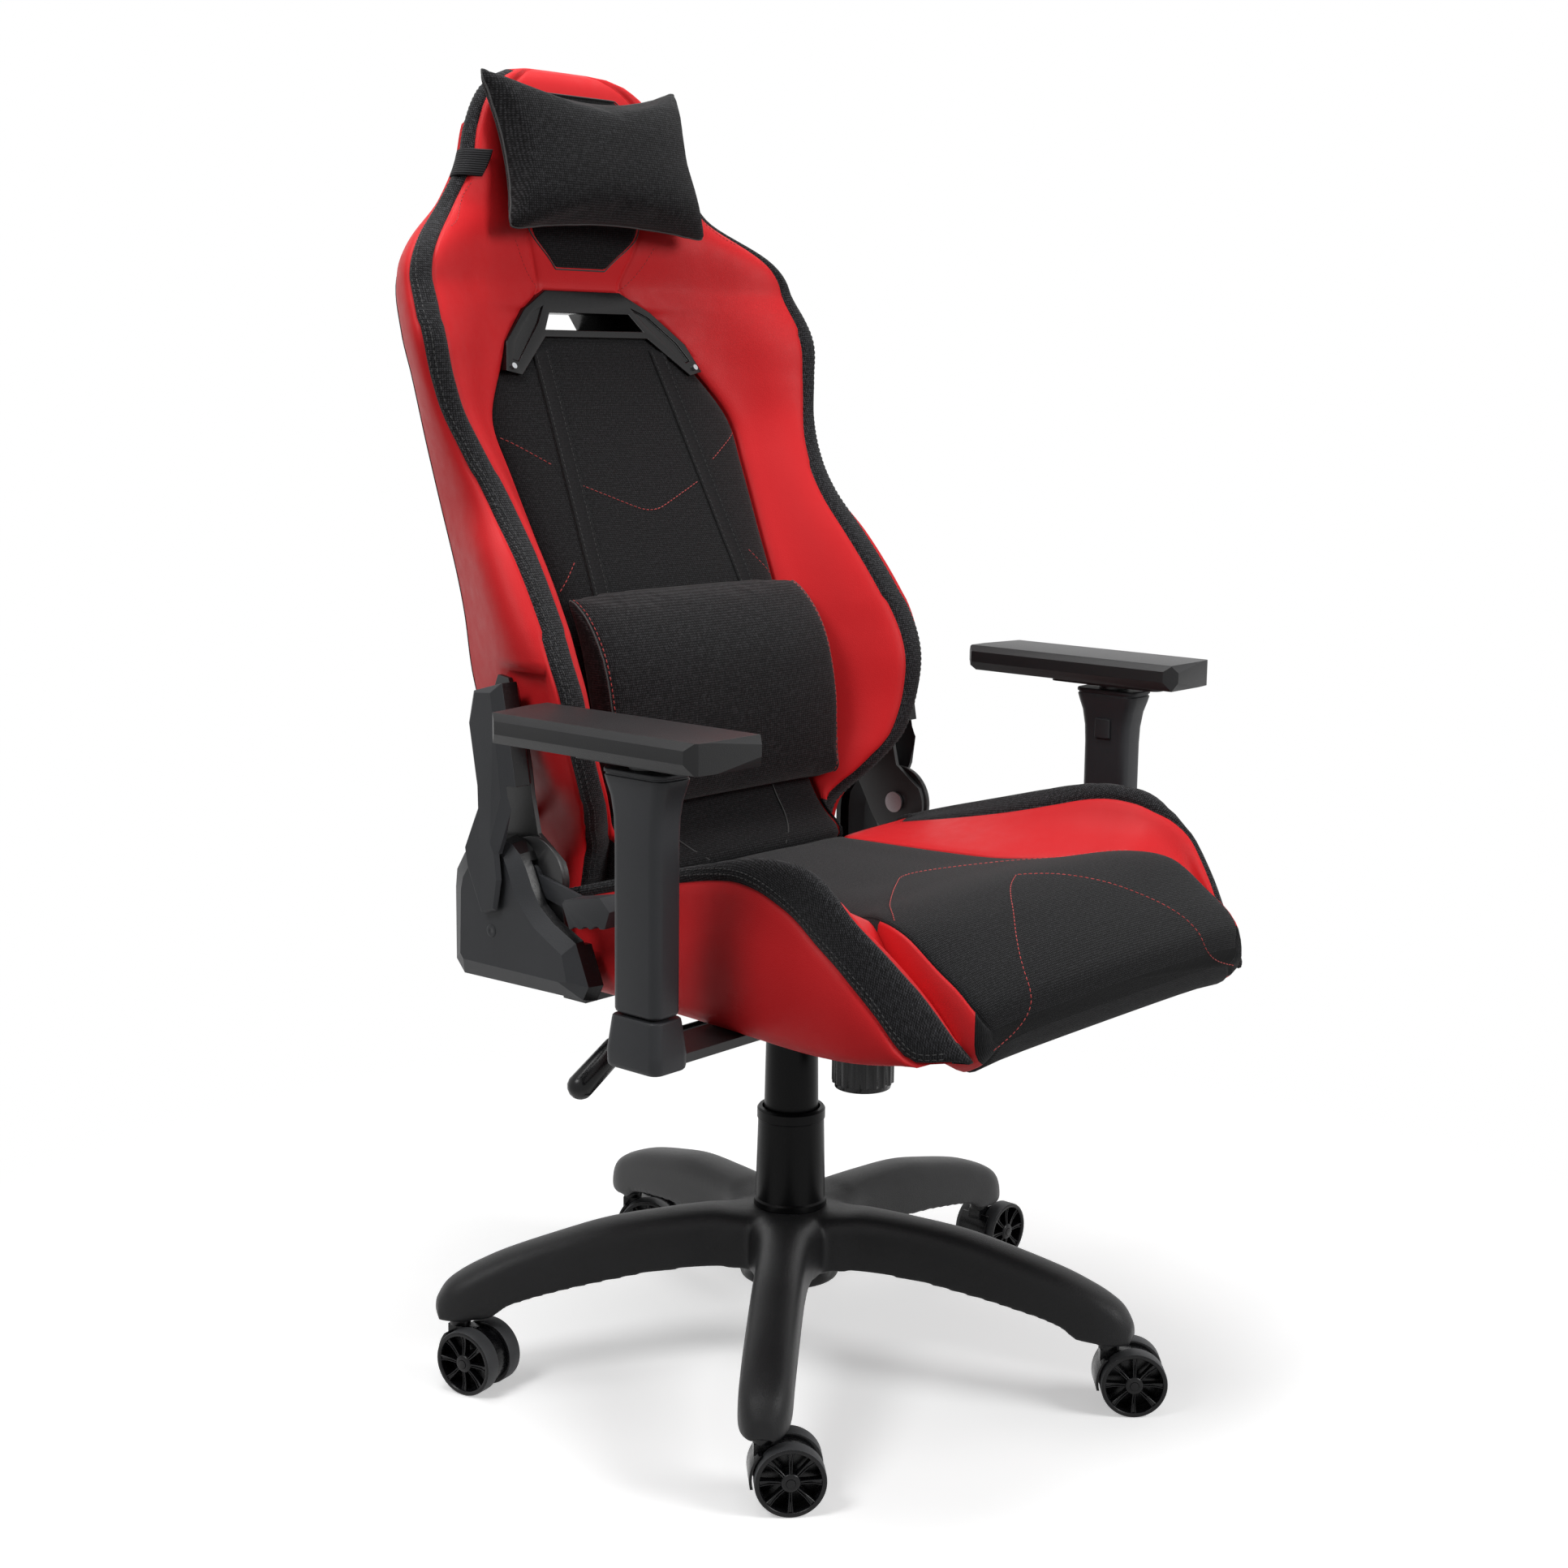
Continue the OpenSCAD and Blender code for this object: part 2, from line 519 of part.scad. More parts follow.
function bolster_ring(y) = let (xi = y > seat_rear ? horn_x : smooth(seam_x, y),
    zi = y > seat_rear ? smooth(crest_z, y) - 4 : smooth(seam_z, y), xc = smooth(crest_x, y),
    zc = smooth(crest_z, y), w = smooth(bolster_w, y), f = y > seat_rear ? horn_foot : smooth(skirt_z, y), yy = y < 0 ? y * k_front : y,
    e = min(8, (xc - xi) / 4), g = min(8, (w - xc) / 3), t = (w - xi) / 100)
    [for (p = [[xi, zi * 0.2 + f * 0.8], [xi, zi * 0.6 + f * 0.4], [xi, zi],
        [xi * 0.5 + xc * 0.5, zi * 0.3 + zc * 0.7], [xc - e, zc - e / 4], [xc, zc], [xc + g, zc - g / 2], [w * 0.7 + xc * 0.3, zc * 0.7 + f * 0.3],
        [w, zc * 0.4 + f * 0.6], [w - 3 * t, f + 8 * t], [w - 14 * t, f], [xi + 8 * t, f]])
        [p[0], yy, seat_base + p[1]]];
module seat_bolsters() color(red) both_sides()
    skin([for (y = concat(seat_rows, [seat_rear + 0.5, 58, 67, 70])) bolster_ring(y)]);

frame_z = seat_base - rail_h;
bar_y0 = 45;
module seat_frame() color(steel) {
    for (s = [-1, 1]) translate([s * rail_span / 2 - rail_w / 2, -290, frame_z]) cube([rail_w, 380, rail_h]);
    translate([-rail_span / 2, -290, frame_z]) cube([rail_span, rail_w, rail_h]);
    // rear bar carries the recliner plates at its ends
    translate([-plate_x - plate_t - 1, bar_y0, frame_z]) cube([2 * (plate_x + plate_t + 1), rail_w, rail_h]);
}

// ---------- recliner ----------
pivot_z = seat_base + pivot_h;
outer_x = plate_x + plate_t + 1;
cover_x = outer_x + plate_t;
cover_face = cover_x + cover_t;
module disc(r, x0, t) translate([x0, pivot_y, pivot_z]) rotate([0, 90, 0]) cylinder(r = r, h = t, $fn = 64);
module recliner_plates() color(steel) both_sides() difference() {
    union() {
        disc(disc_r, outer_x, plate_t);
        side_prism([[bar_y0 - 12, frame_z], [bar_y0 + rail_w + 12, frame_z],
            [pivot_y + disc_r - 4, pivot_z - 12], [pivot_y - disc_r + 1, pivot_z - 8]], outer_x, plate_t);
    }
    disc(pin_dia / 2 + fit, outer_x - 1, plate_t + 2);
}
stub_h = [40, 100];
stub_y = [54, 70];
function frame_y(h) = rest_y(h) + 1.2 + 1.1 * frame_dia / 2;
module recliner_arms() color(steel) both_sides() difference() {
    union() {
        disc(disc_r - 2, plate_x, plate_t);
        side_prism([[pivot_y - 30, pivot_z + 18], [pivot_y + 4, pivot_z + 180], [pivot_y + 48, pivot_z + 180],
            [pivot_y + 82, pivot_z + 112], [pivot_y + 62, pivot_z + 36], [pivot_y + 28, pivot_z - 20]],
            plate_x, plate_t);
    }
    disc(pin_dia / 2 + fit, plate_x - 1, plate_t + 2);
}
// Side cover outlines from the pivot: [distance behind it, height above it]
low_cover = [[85, -4], [78, 8], [20, 33], [-4, 40], [-35, 36], [-54, 4], [-72, -46], [-89, -79], [-104, -88],
    [-80, -94], [75, -97], [87, -88]];
top_cover = [[4, 82], [18, 125], [22, 177], [56, 168], [64, 134], [51, 64], [73, 20], [70, 8], [53, -33],
    [31, -29], [22, 31]];
function around(o) = [for (p = o) [pivot_y + p[0], pivot_z + p[1]]];
function shrunk(o, s, c) = [for (p = o) [c[0] + (p[0] - c[0]) * s, c[1] + (p[1] - c[1]) * s]];
cut_h = 84;
module lower_side_covers() color(satin) both_sides() difference() {
    union() {
        side_prism(around(low_cover), cover_x, cover_t * 0.62);
        side_prism(around(shrunk(low_cover, 0.93, [0, -35])), cover_x, cover_t);
    }
    side_prism(around(shrunk(low_cover, 0.87, [0, -35])), cover_x - 1, cover_t - cover_wall + 1);
    // way out for the recline lever
    translate([cover_x - 1, pivot_y - 120, pivot_z - 48]) cube([8, 130, 66]);
}
top_face = cover_face + 5;
module upper_side_covers() color(satin) both_sides() difference() {
    union() {
        difference() {
            side_prism(around(top_cover), plate_x + plate_t, top_face - plate_x - plate_t);
            translate([plate_x, pivot_y - 60, pivot_z - 60]) cube([cover_face + 0.5 - plate_x, 160, cut_h + 60]);
        }
    }
    // hollow above the overlap
    difference() {
        side_prism(around(shrunk(top_cover, 0.84, [36, 110])), plate_x + plate_t - 1,
            top_face - plate_x - plate_t - cover_wall + 1);
        translate([plate_x - 2, pivot_y - 60, pivot_z - 80]) cube([60, 160, 80 + cut_h + 3]);
    }
}
recline_grip = 72;
module recline_lever() color(nylon) mirror([1, 0, 0]) difference() {
    union() {
        disc(14, cover_x + 0.3, 4);
        side_prism(around([[0, 8], [0, -10], [-74, -27], [-70, -7]]), cover_x + 0.3, 4);
        // grip with finger waves below
        difference() {
            side_prism([for (p = [[-63, -10], [-66, -6], [-110, 3], [-122, -8], [-116, -24], [-72, -31]])
                [pivot_y + p[0], pivot_z + p[1]]], cover_x + 0.3, 24);
            for (i = [0:2]) x_rod(6, cover_x - 1, cover_x + 30, pivot_y - 80 - 13 * i, pivot_z - 34 + 2.5 * i);
        }
    }
    disc(pin_dia / 2 + fit, cover_x - 1, 8);
}

// ---------- back ----------
// Rows of [height above the pivot, size]; places are distances behind the pivot
function panel_y(h) = tan(back_lean) * h - 31;
front_y = [[-50, 14], [-42, 4], [-35, -2], [-26, -12], [-18, -19], [-8, -16], [2, -3], [15, 9], [30, 19],
    [45, 26], [85, 43], [125, 50], [165, 58], [205, 68], [245, panel_y(245)], [285, panel_y(285)],
    [485, panel_y(485)], [535, panel_y(535)]];
edge_x = [[-50, 150], [85, 150], [245, 155], [357, 165], [403, 166], [445, 140], [485, 105], [535, 50]];
wing_w = [[-50, 208], [5, 218], [45, 223], [85, 241], [125, 256], [165, 266], [205, 272], [245, 270],
    [285, 262], [325, 248], [365, 248], [405, 256], [445, 266], [485, 272], [535, 262]];
wing_x = [[-50, 190], [5, 194], [45, 198], [85, 210], [125, 225], [185, 232], [225, 228], [305, 218],
    [345, 218], [385, 227], [425, 240], [485, 248], [535, 240]];
wing_y = [[-50, 10], [-42, 2], [-30, -12], [-15, -24], [5, -28], [20, -30], [45, -30], [85, -32],
    [125, -34], [165, -31], [205, -14], [245, 11],
    [285, 40], [325, 72], [365, 98], [405, 116], [445, 125], [485, 132], [535, 156]];
rim_x = [[-50, 198], [45, 206], [165, 213], [260, 215], [325, 218], [385, 225], [445, 235], [485, 240],
    [535, 235], [565, 206], [605, 165], [645, 139], [685, 125], [720, 100], [746, 60]];
rim_y = [[-50, 62], [0, 82], [45, 100], [105, 122], [165, 140], [220, 149], [260, 159], [325, 178],
    [385, 190], [445, 197], [485, 205], [535, 217], [605, 238], [685, 245], [746, 258]];
spine_y = [[-50, 84], [0, 100], [45, 114], [105, 133], [165, 151], [220, 166], [260, 180], [325, 204],
    [385, 231], [445, 260], [485, 279], [535, 293], [585, 288], [645, 281], [685, 276], [720, 270],
    [746, 260]];
head_w = [[535, 262], [565, 234], [605, 186], [645, 153], [685, 137], [720, 112], [740, 76], [746, 46]];
head_y = [[535, 156], [565, 173], [605, 204], [645, 212], [685, 220], [720, 228], [740, 238], [746, 248]];
brow_y = [[535, 212], [565, 207], [605, 208], [645, 212], [685, 217], [720, 223], [740, 233], [746, 245]];
nape_y = [[535, 240], [605, 243], [645, 245], [685, 246], [746, 252]];
k_head = (back_h - 535) / (746 - 535);
inner_x = 172;
low_h = 245;
function rest_y(h) = h < low_h ? panel_y(low_h) + pad_t - 0.28 * (low_h - h)
    : min(panel_y(h) + pad_t, 243);
step_in = 8;
function wing_back(h, x) = let (xr = smooth(rim_x, h), yr = smooth(rim_y, h), r = rest_y(h) - step_in)
    x < inner_x ? r + step_in : x > xr - step_in ? yr
    : r + (yr - 1 - r) * (x - inner_x) / (xr - step_in - inner_x);
function lifted(h) = pivot_z + (h > 535 ? 535 + (h - 535) * k_head : h);
function placed(ring, h) = [for (p = ring) [p[0], pivot_y + p[1], lifted(h)]];

function back_ring(h) = let (x = smooth(edge_x, h), f = smooth(front_y, h), r = rest_y(h))
    placed([[-x, f + 8], [-x * 0.94, f + 1], [-x * 0.5, f], [0, f], [x * 0.5, f], [x * 0.94, f + 1],
        [x, f + 8], [x, r], [0, r], [-x, r]], h);
back_rows = [-50, -42, -34, -26, -17, -7, 3, 15, 30, 45, 65, 85, 125, 165, 205, low_h, 285, 325, 365, 405,
    445, 465, 485];
head_rows = [535, 550, 565, 585, 605, 625, 645, 665, 685, 703, 720, 732, 740, 744, 746];
function wing_ring(h) = let (xi = smooth(edge_x, h), f = smooth(front_y, h), xc = smooth(wing_x, h),
    yc = smooth(wing_y, h), w = smooth(wing_w, h), xr = smooth(rim_x, h), yr = smooth(rim_y, h))
    placed([[xi, f + 8], [xi + 3, f + 2], [xi * 0.6 + xc * 0.4, f * 0.8 + yc * 0.2], [xi * 0.2 + xc * 0.8, f * 0.2 + yc * 0.8], [xc, yc],
        [(xc + w) / 2, yc - 3], [w - 1, yc + 6], [w, yc * 0.75 + yr * 0.25], [w * 0.45 + xr * 0.55,
        yc * 0.35 + yr * 0.65], [xr, yr], [xr - step_in, yr - 1], [inner_x, rest_y(h) - step_in],
        [xi, rest_y(h)]], h);
wing_rows = concat(back_rows, [515, 535]);
function head_ring(h) = let (w = smooth(head_w, h), b = smooth(brow_y, h), c = smooth(head_y, h),
    n = smooth(nape_y, h), xr = min(smooth(rim_x, h), w - 6), yr = smooth(rim_y, h))
    let (front = [[w * 0.3, b], [w * 0.62, b * 0.8 + c * 0.2], [w * 0.86, c * 0.9 + b * 0.1 - 2], [w * 0.96, c - 1],
        [w, c + 8]],
        rear = [[w * 0.6 + xr * 0.4, c * 0.4 + yr * 0.6], [xr, yr], [xr * 0.86, yr * 0.68 + n * 0.32],
        [xr * 0.7, yr * 0.34 + n * 0.66], [xr * 0.35, n]])
    placed(concat([for (i = [4:-1:0]) [-front[i][0], front[i][1]]], [[0, b]], front, rear, [[0, n]],
        [for (i = [4:-1:0]) [-rear[i][0], rear[i][1]]]), h);
shell_rows = concat([for (h = wing_rows) if (h > -40) h], [for (h = head_rows) if (h > 535 && h < 730) h]);
function shell_ring(h) = let (xr = smooth(rim_x, h) - 0.5, yr = smooth(rim_y, h), s = smooth(spine_y, h),
    half = [[1, 0], [0.93, 0.17], [0.84, 0.4], [0.7, 0.68], [0.5, 0.9], [0, 1]],
    out = [for (p = half) [xr * p[0], yr + 2 + (s - yr) * p[1]]],
    inn = [for (p = half) let (x = (xr - shell_t) * p[0])
        [x, max(yr + 2 + (s - yr) * p[1] - shell_t, p[0] == 1 ? yr + 1.8
            : h > 534 ? smooth(nape_y, h) * (1 - p[0]) + yr * p[0] + 1.5 : wing_back(h, x) + 2.5)]])
    placed(concat([for (i = [0:5]) out[i]], [for (i = [4:-1:0]) [-out[i][0], out[i][1]]],
        [for (i = [0:5]) [-inn[i][0], inn[i][1]]], [for (i = [4:-1:0]) inn[i]]), h);

// Outlines of the handle bezel in the front view: [half width, height above the pivot]
bezel_side = [[70, 485], [118, 447], [137, 451], [125, 479], [88, 511], [52, 530]];
slot_side = [[68, 491], [55, 508]];
sleeve_side = [[76, 484], [76, 494], [59, 515]];
sunk_side = [[76, 497], [117, 460], [124, 462], [112, 480], [82, 506], [62, 514]];
function whole(o) = concat(o, [for (i = [len(o) - 1:-1:0]) [-o[i][0], o[i][1]]]);
function raised(o) = [for (p = o) [p[0], pivot_z + p[1]]];
bezel_out = 5;
bezel_in = 4;
// Slab along the panel's plane, from out in front of it to deep behind it
module panel_slab(out, deep) side_prism(around([[panel_y(430) - out, 430], [panel_y(545) - out, 545],
    [panel_y(545) + deep, 545], [panel_y(430) + deep, 430]]), -200, 400);
module bezel_trim(out, deep) intersection() {
    front_prism(raised(whole(bezel_side)), 0, 600);
    panel_slab(out, deep);
}
bezel_rear = pivot_y + smooth(spine_y, 500) + 6;
module sleeve(y1) front_prism(raised(whole(sleeve_side)), pivot_y + panel_y(500) - 30,
    y1 - pivot_y - panel_y(500) + 30);
module handle_bezel() color(nylon) difference() {
    union() {
        bezel_trim(bezel_out, bezel_in);
        intersection() {
            sleeve(bezel_rear);
            panel_slab(bezel_out, 200);
        }
    }
    front_prism(raised(whole(slot_side)), 0, 600);
    // sunk face of each leg
    both_sides() intersection() {
        front_prism(raised(sunk_side), 0, 600);
        panel_slab(20, 2 - bezel_out);
    }
}
module bezel_room() {
    bezel_trim(30, bezel_in + 0.3);
    sleeve(bezel_rear + 90);
}
module back_pad() color(cloth) difference() {
    skin([for (h = back_rows) back_ring(h)]);
    bezel_room();
}
module back_wings() color(red) both_sides() difference() {
    skin([for (h = wing_rows) wing_ring(h)]);
    bezel_room();
    for (i = [0:1]) rod(upright(stub_h[i]), stub_end(i) + [20, -20 * stub_slope(i), 0], frame_r - 0.8);
    // flat for the recliner arm and its cover
    side_prism(around([[-36, -60], [-36, 20], [-2, 186], [70, 186], [95, 100], [95, -60]]), plate_x - 0.7, 60);
}
module head_section() color(red) difference() {
    skin([for (h = head_rows) head_ring(h)], true);
    bezel_room();
}
module back_shell() color(cloth) difference() {
    skin([for (h = shell_rows) shell_ring(h)], true);
    bezel_room();
}
module rod(a, b, r) {
    d = b - a;
    l = norm(d);
    translate(a) rotate([0, acos(d[2] / l), atan2(d[1], d[0])]) cylinder(r = r, h = l, $fn = 32);
}
frame_r = frame_dia / 2;
frame_top = 480;
function upright(h) = [frame_span / 2, pivot_y + frame_y(h), pivot_z + h];
// Ends of the stubs at the recliner arms
function stub_end(i) = [plate_x - 2.5, pivot_y + stub_y[i], pivot_z + stub_h[i]];
function stub_slope(i) = (upright(stub_h[i])[1] - stub_end(i)[1]) / (plate_x - 2.5 - frame_span / 2);
head_node = [55, pivot_y + 257, lifted(680)];
module back_frame() color(steel) {
    both_sides() {
        rod(upright(-12), upright(low_h), frame_r);
        translate(upright(low_h)) sphere(r = frame_r + 1, $fn = 32);
        rod(upright(low_h), upright(frame_top), frame_r);
        translate(upright(frame_top)) sphere(r = frame_r + 0.5, $fn = 32);
        rod(upright(frame_top), head_node, frame_r - 2);
        for (i = [0:1]) rod(upright(stub_h[i]), stub_end(i), frame_r - 3);
    }
    for (h = [stub_h[0], stub_h[1], 300, 425])
        x_rod(frame_r - 2, -frame_span / 2, frame_span / 2, pivot_y + frame_y(h), pivot_z + h);
    x_rod(frame_r - 2, -head_node[0] - 2, head_node[0] + 2, head_node[1], head_node[2]);
}
strap_top = 485;
strap_foot = 205;
strap_x = [80, 107];
module back_straps() color(cloth) both_sides() difference() {
    skin([for (h = [strap_foot, low_h, strap_top]) let (y = smooth(front_y, h) - 0.2,
        x = strap_x[1] + (strap_x[0] - strap_x[1]) * (h - strap_foot) / (strap_top - strap_foot))
        placed([[x - strap_w / 2, y], [x - strap_w / 2, y - strap_t], [x + strap_w / 2, y - strap_t],
            [x + strap_w / 2, y]], h)]);
    bezel_room();
}

// ---------- cushions on the back ----------
pillow_rise = back_h - 86;
pillow_y = 192.1;
pillow_lean = 16;
module head_pillow() color(cloth) translate([0, pivot_y + pillow_y, pivot_z + pillow_rise])
    rotate([90 - pillow_lean, 0, 0]) cushion(pillow_w, pillow_h, pillow_t, 19, 18, 12, 0.10, 0.32, 0.12, 3);
strap_low = back_h - 112;
band_t = 1.6;
function spread(p, g) = let (c = [0, 225], d = p - c) p + d / norm(d) * g;
function band_path(h) = let (w = smooth(head_w, h), xr = smooth(rim_x, h), yr = smooth(rim_y, h) + 2,
    s = smooth(spine_y, h) + 2)
    [[w - 24, pillow_y + 14], [w, smooth(head_y, h) - 2], [w, smooth(head_y, h) + 10], [xr, yr],
    [xr * 0.93, yr + 0.17 * (s - yr)], [xr * 0.84, yr + 0.4 * (s - yr)], [xr * 0.7, yr + 0.68 * (s - yr)],
    [xr * 0.5, yr + 0.9 * (s - yr)], [0, s]];
module head_strap() color(cloth) {
    low = band_path(strap_low);
    high = band_path(strap_low + elastic_w);
    g = soft_gap + 0.3;
    path = concat([for (i = [0:8]) i], [for (i = [7:-1:0]) -i]);
    skin([for (k = [0:16]) let (i = abs(path[k]), side = k > 8 ? -1 : 1)
        [for (q = [[spread(low[i], g), 0], [spread(low[i], g + band_t), 0],
            [spread(high[i], g + band_t), elastic_w], [spread(high[i], g), elastic_w]])
            [side * q[0][0], pivot_y + q[0][1], pivot_z + strap_low + q[1]]]]);
}
// Front of the lumbar cushion: [distance behind the pivot, height above it]
lumbar_face = [[18, 37], [6, 38], [-1, 50], [-5, 80], [-5, 120], [3, 165], [13, 192], [26, 212], [42, 229],
    [58, 240], [72, 246]];
// Sections of the lumbar cushion: [share of its half width, share of its depth, stand-off]
lumbar_ends = [[1, 0.37, 16], [0.985, 0.48, 13], [0.94, 0.63, 9], [0.8, 0.85, 3], [0.5, 0.98, 0], [0, 1, 0]];
function lumbar_rest(h) = smooth(front_y, h) - soft_gap - strap_t + 0.6;
function lumbar_ring(side, e) = let (c = 142, hs = [for (q = lumbar_face) q[1]],
    rear = [for (h = hs) lumbar_rest(h) - e[2]],
    face = [for (i = [0:10]) rear[i] - max(0.5, e[1] * (lumbar_rest(hs[i]) - lumbar_face[i][0]))])
    [for (p = concat([for (i = [0:10]) [face[i], hs[i]]], [for (i = [10:-1:0]) [rear[i], hs[i]]]))
        [side * e[0] * lumbar_w / 2, pivot_y + p[0], pivot_z + c + (p[1] - c) * (0.9 + 0.1 * e[1])]];
module lumbar_cushion() color(cloth) skin(concat([for (e = lumbar_ends) lumbar_ring(-1, e)],
    [for (i = [4:-1:0]) lumbar_ring(1, lumbar_ends[i])]), true);

// ---------- arms ----------
collar_h = 44;
collar_z = frame_z + 2;
post_z = collar_z + collar_h + 2;
post_top = post_z + post_h;
stalk_w = 14;
stalk_d = 38;
stalk_top = post_z + 150;
bar_t = 8;
bar_w = 48;
module arm_steel() {
    translate([rail_span / 2 + rail_w / 2, arm_y - bar_w / 2, frame_z + 5])
        cube([arm_x + stalk_w / 2 - rail_span / 2 - rail_w / 2, bar_w, bar_t]);
    translate([arm_x - stalk_w / 2, arm_y - stalk_d / 2, frame_z + 5])
        cube([stalk_w, stalk_d, stalk_top - frame_z - 5]);
}
module arm_brackets() color(steel) both_sides() arm_steel();
module arm_collars() color(satin) both_sides() difference() {
    translate([arm_x, arm_y, collar_z]) union() {
        rounded_slab(post_w + 12, post_d + 14, 16, 9);
        translate([0, 0, 16]) rounded_slab(post_w + 8, post_d + 8, 14, 10);
        translate([0, 0, 30]) rounded_slab(post_w + 4, post_d + 4, collar_h - 30, 10);
    }
    arm_steel();
}
pivot_pin_r = 7;
button_z = post_h - 30;
module arm_post() color(satin) translate([arm_x, arm_y, post_z]) difference() {
    union() {
        rounded_slab(post_w, post_d, post_h, 12);
        translate([0, 0, post_h - 8]) rounded_slab(post_w + 8, post_d + 14, 8, 12);
        translate([0, 0, post_h - 20]) rounded_slab(post_w + 3, post_d + 6, 12, 12);
    }
    // way for the stalk
    translate([0, 0, (stalk_top - post_z + 2) / 2 - 5])
        cube([stalk_w + 2 * slide_fit, stalk_d + 2 * slide_fit, stalk_top - post_z + 12], center = true);
    translate([0, 0, post_h - 20]) cylinder(r = pivot_pin_r + fit, h = 30, $fn = fine);
    // pocket of the height button, on the sitter's side
    translate([-post_w / 2 - 12.5, -9 - slide_fit, button_z - 20 - slide_fit])
        cube([20, 18 + 2 * slide_fit, 20 + 2 * slide_fit]);
}
module arm_button() color(nylon) translate([arm_x - post_w / 2 - 3, arm_y - 9, post_z + button_z - 20])
    cube([7, 18, 20]);
plate_z = post_top + 4;
module arm_plate() color(steel) translate([arm_x, arm_y, 0]) {
    translate([0, 0, post_top - 18]) cylinder(r = pivot_pin_r, h = plate_z - post_top + 19, $fn = fine);
    translate([0, 0, post_top + 0.3]) cylinder(r = 15, h = plate_z - post_top, $fn = fine);
    translate([0, 0, plate_z]) rounded_slab(44, 130, 4, 8);
}
pad_z = plate_z + 4.3;
pad_y = arm_y + 32;
// Chamfered block: x wide, y long, z high, standing on z = 0
module arm_pad() color(nylon) translate([arm_x, pad_y, pad_z]) intersection() {
    linear_extrude(height = pad_h) polygon([[-pad_w / 2, -pad_l / 2 + 12], [-pad_w / 2 + 10, -pad_l / 2],
        [pad_w / 2 - 8, -pad_l / 2 + 7], [pad_w / 2, -pad_l / 2 + 16], [pad_w / 2, pad_l / 2 - 22],
        [pad_w / 2 - 6, pad_l / 2 - 14], [-pad_w / 2 + 8, pad_l / 2], [-pad_w / 2, pad_l / 2 - 8]]);
    translate([-pad_w, 0, 0]) side_prism([[-pad_l / 2, 9], [-pad_l / 2 + 5, 0], [pad_l / 2 - 10, 0],
        [pad_l / 2, 10], [pad_l / 2, pad_h - 6], [pad_l / 2 - 4, pad_h], [-pad_l / 2 + 6, pad_h],
        [-pad_l / 2, pad_h - 7]], 0, 2 * pad_w);
    front_prism([[-pad_w / 2, 9], [-pad_w / 2 + 6, 0], [pad_w / 2 - 6, 0], [pad_w / 2, 9],
        [pad_w / 2, pad_h - 6], [pad_w / 2 - 6, pad_h], [-pad_w / 2 + 6, pad_h], [-pad_w / 2, pad_h - 6]],
        -pad_l, 2 * pad_l);
}
module right() mirror([1, 0, 0]) children();

// ---------- fasteners ----------
module fasteners() color(bright) both_sides() {
    // pivot pins of the recliner
    disc(pin_dia / 2, plate_x - 1.5, cover_x + 5 - plate_x + 1.5);
    disc(pin_dia / 2 + 3, plate_x - 3.5, 2.4);
    // bolts under the arm bars
    for (dy = [-14, 14]) translate([rail_span / 2 + 34, arm_y + dy, frame_z - 1])
        cylinder(r = 6, h = 6, $fn = 24);
    // bolts under the seat plate
    for (y = [-110, 40]) translate([rail_span / 2, y, mech_top - 5]) cylinder(r = 6, h = 5, $fn = 24);
}
module bezel_screws() color(bright) both_sides()
    translate([127, pivot_y + panel_y(455) - bezel_out - 0.05, pivot_z + 455]) rotate([90 - back_lean, 0, 0])
        cylinder(r = 3, h = 2.5, $fn = 24);

base_star();
gas_tube();
lower_cover();
castor_stems();
for (k = [0:arms - 1]) {
    castor_yoke(k);
    castor_wheel(k, 1);
    castor_wheel(k, -1);
}
piston_rod();
thrust_bearing();
lift_cylinder();
upper_cover();
mech_housing();
tilt_axle();
mech_plate();
seat_frame();
seat_pad();
seat_bolsters();
recliner_plates();
lower_side_covers();
arm_brackets();
arm_collars();
fasteners();
tension_knob();
tension_spring();
lock_slider();
lift_lever();
recline_lever();
back_frame();
recliner_arms();
back_pad();
back_wings();
head_section();
back_shell();
handle_bezel();
back_straps();
upper_side_covers();
bezel_screws();
head_pillow();
head_strap();
lumbar_cushion();
right() arm_post();  // arm_r_post
right() arm_button();  // arm_r_button
right() arm_plate();  // arm_r_plate
right() arm_pad();  // arm_r_pad
arm_post();  // arm_l_post
arm_button();  // arm_l_button
arm_plate();  // arm_l_plate
arm_pad();  // arm_l_pad
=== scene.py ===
"""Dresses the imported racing-style swivel chair: sewn covers, cushions, moulded plastics and the studio."""
import json
import math

import bmesh
import bpy
import numpy as np
from mathutils import Matrix, Vector
from mathutils.bvhtree import BVHTree

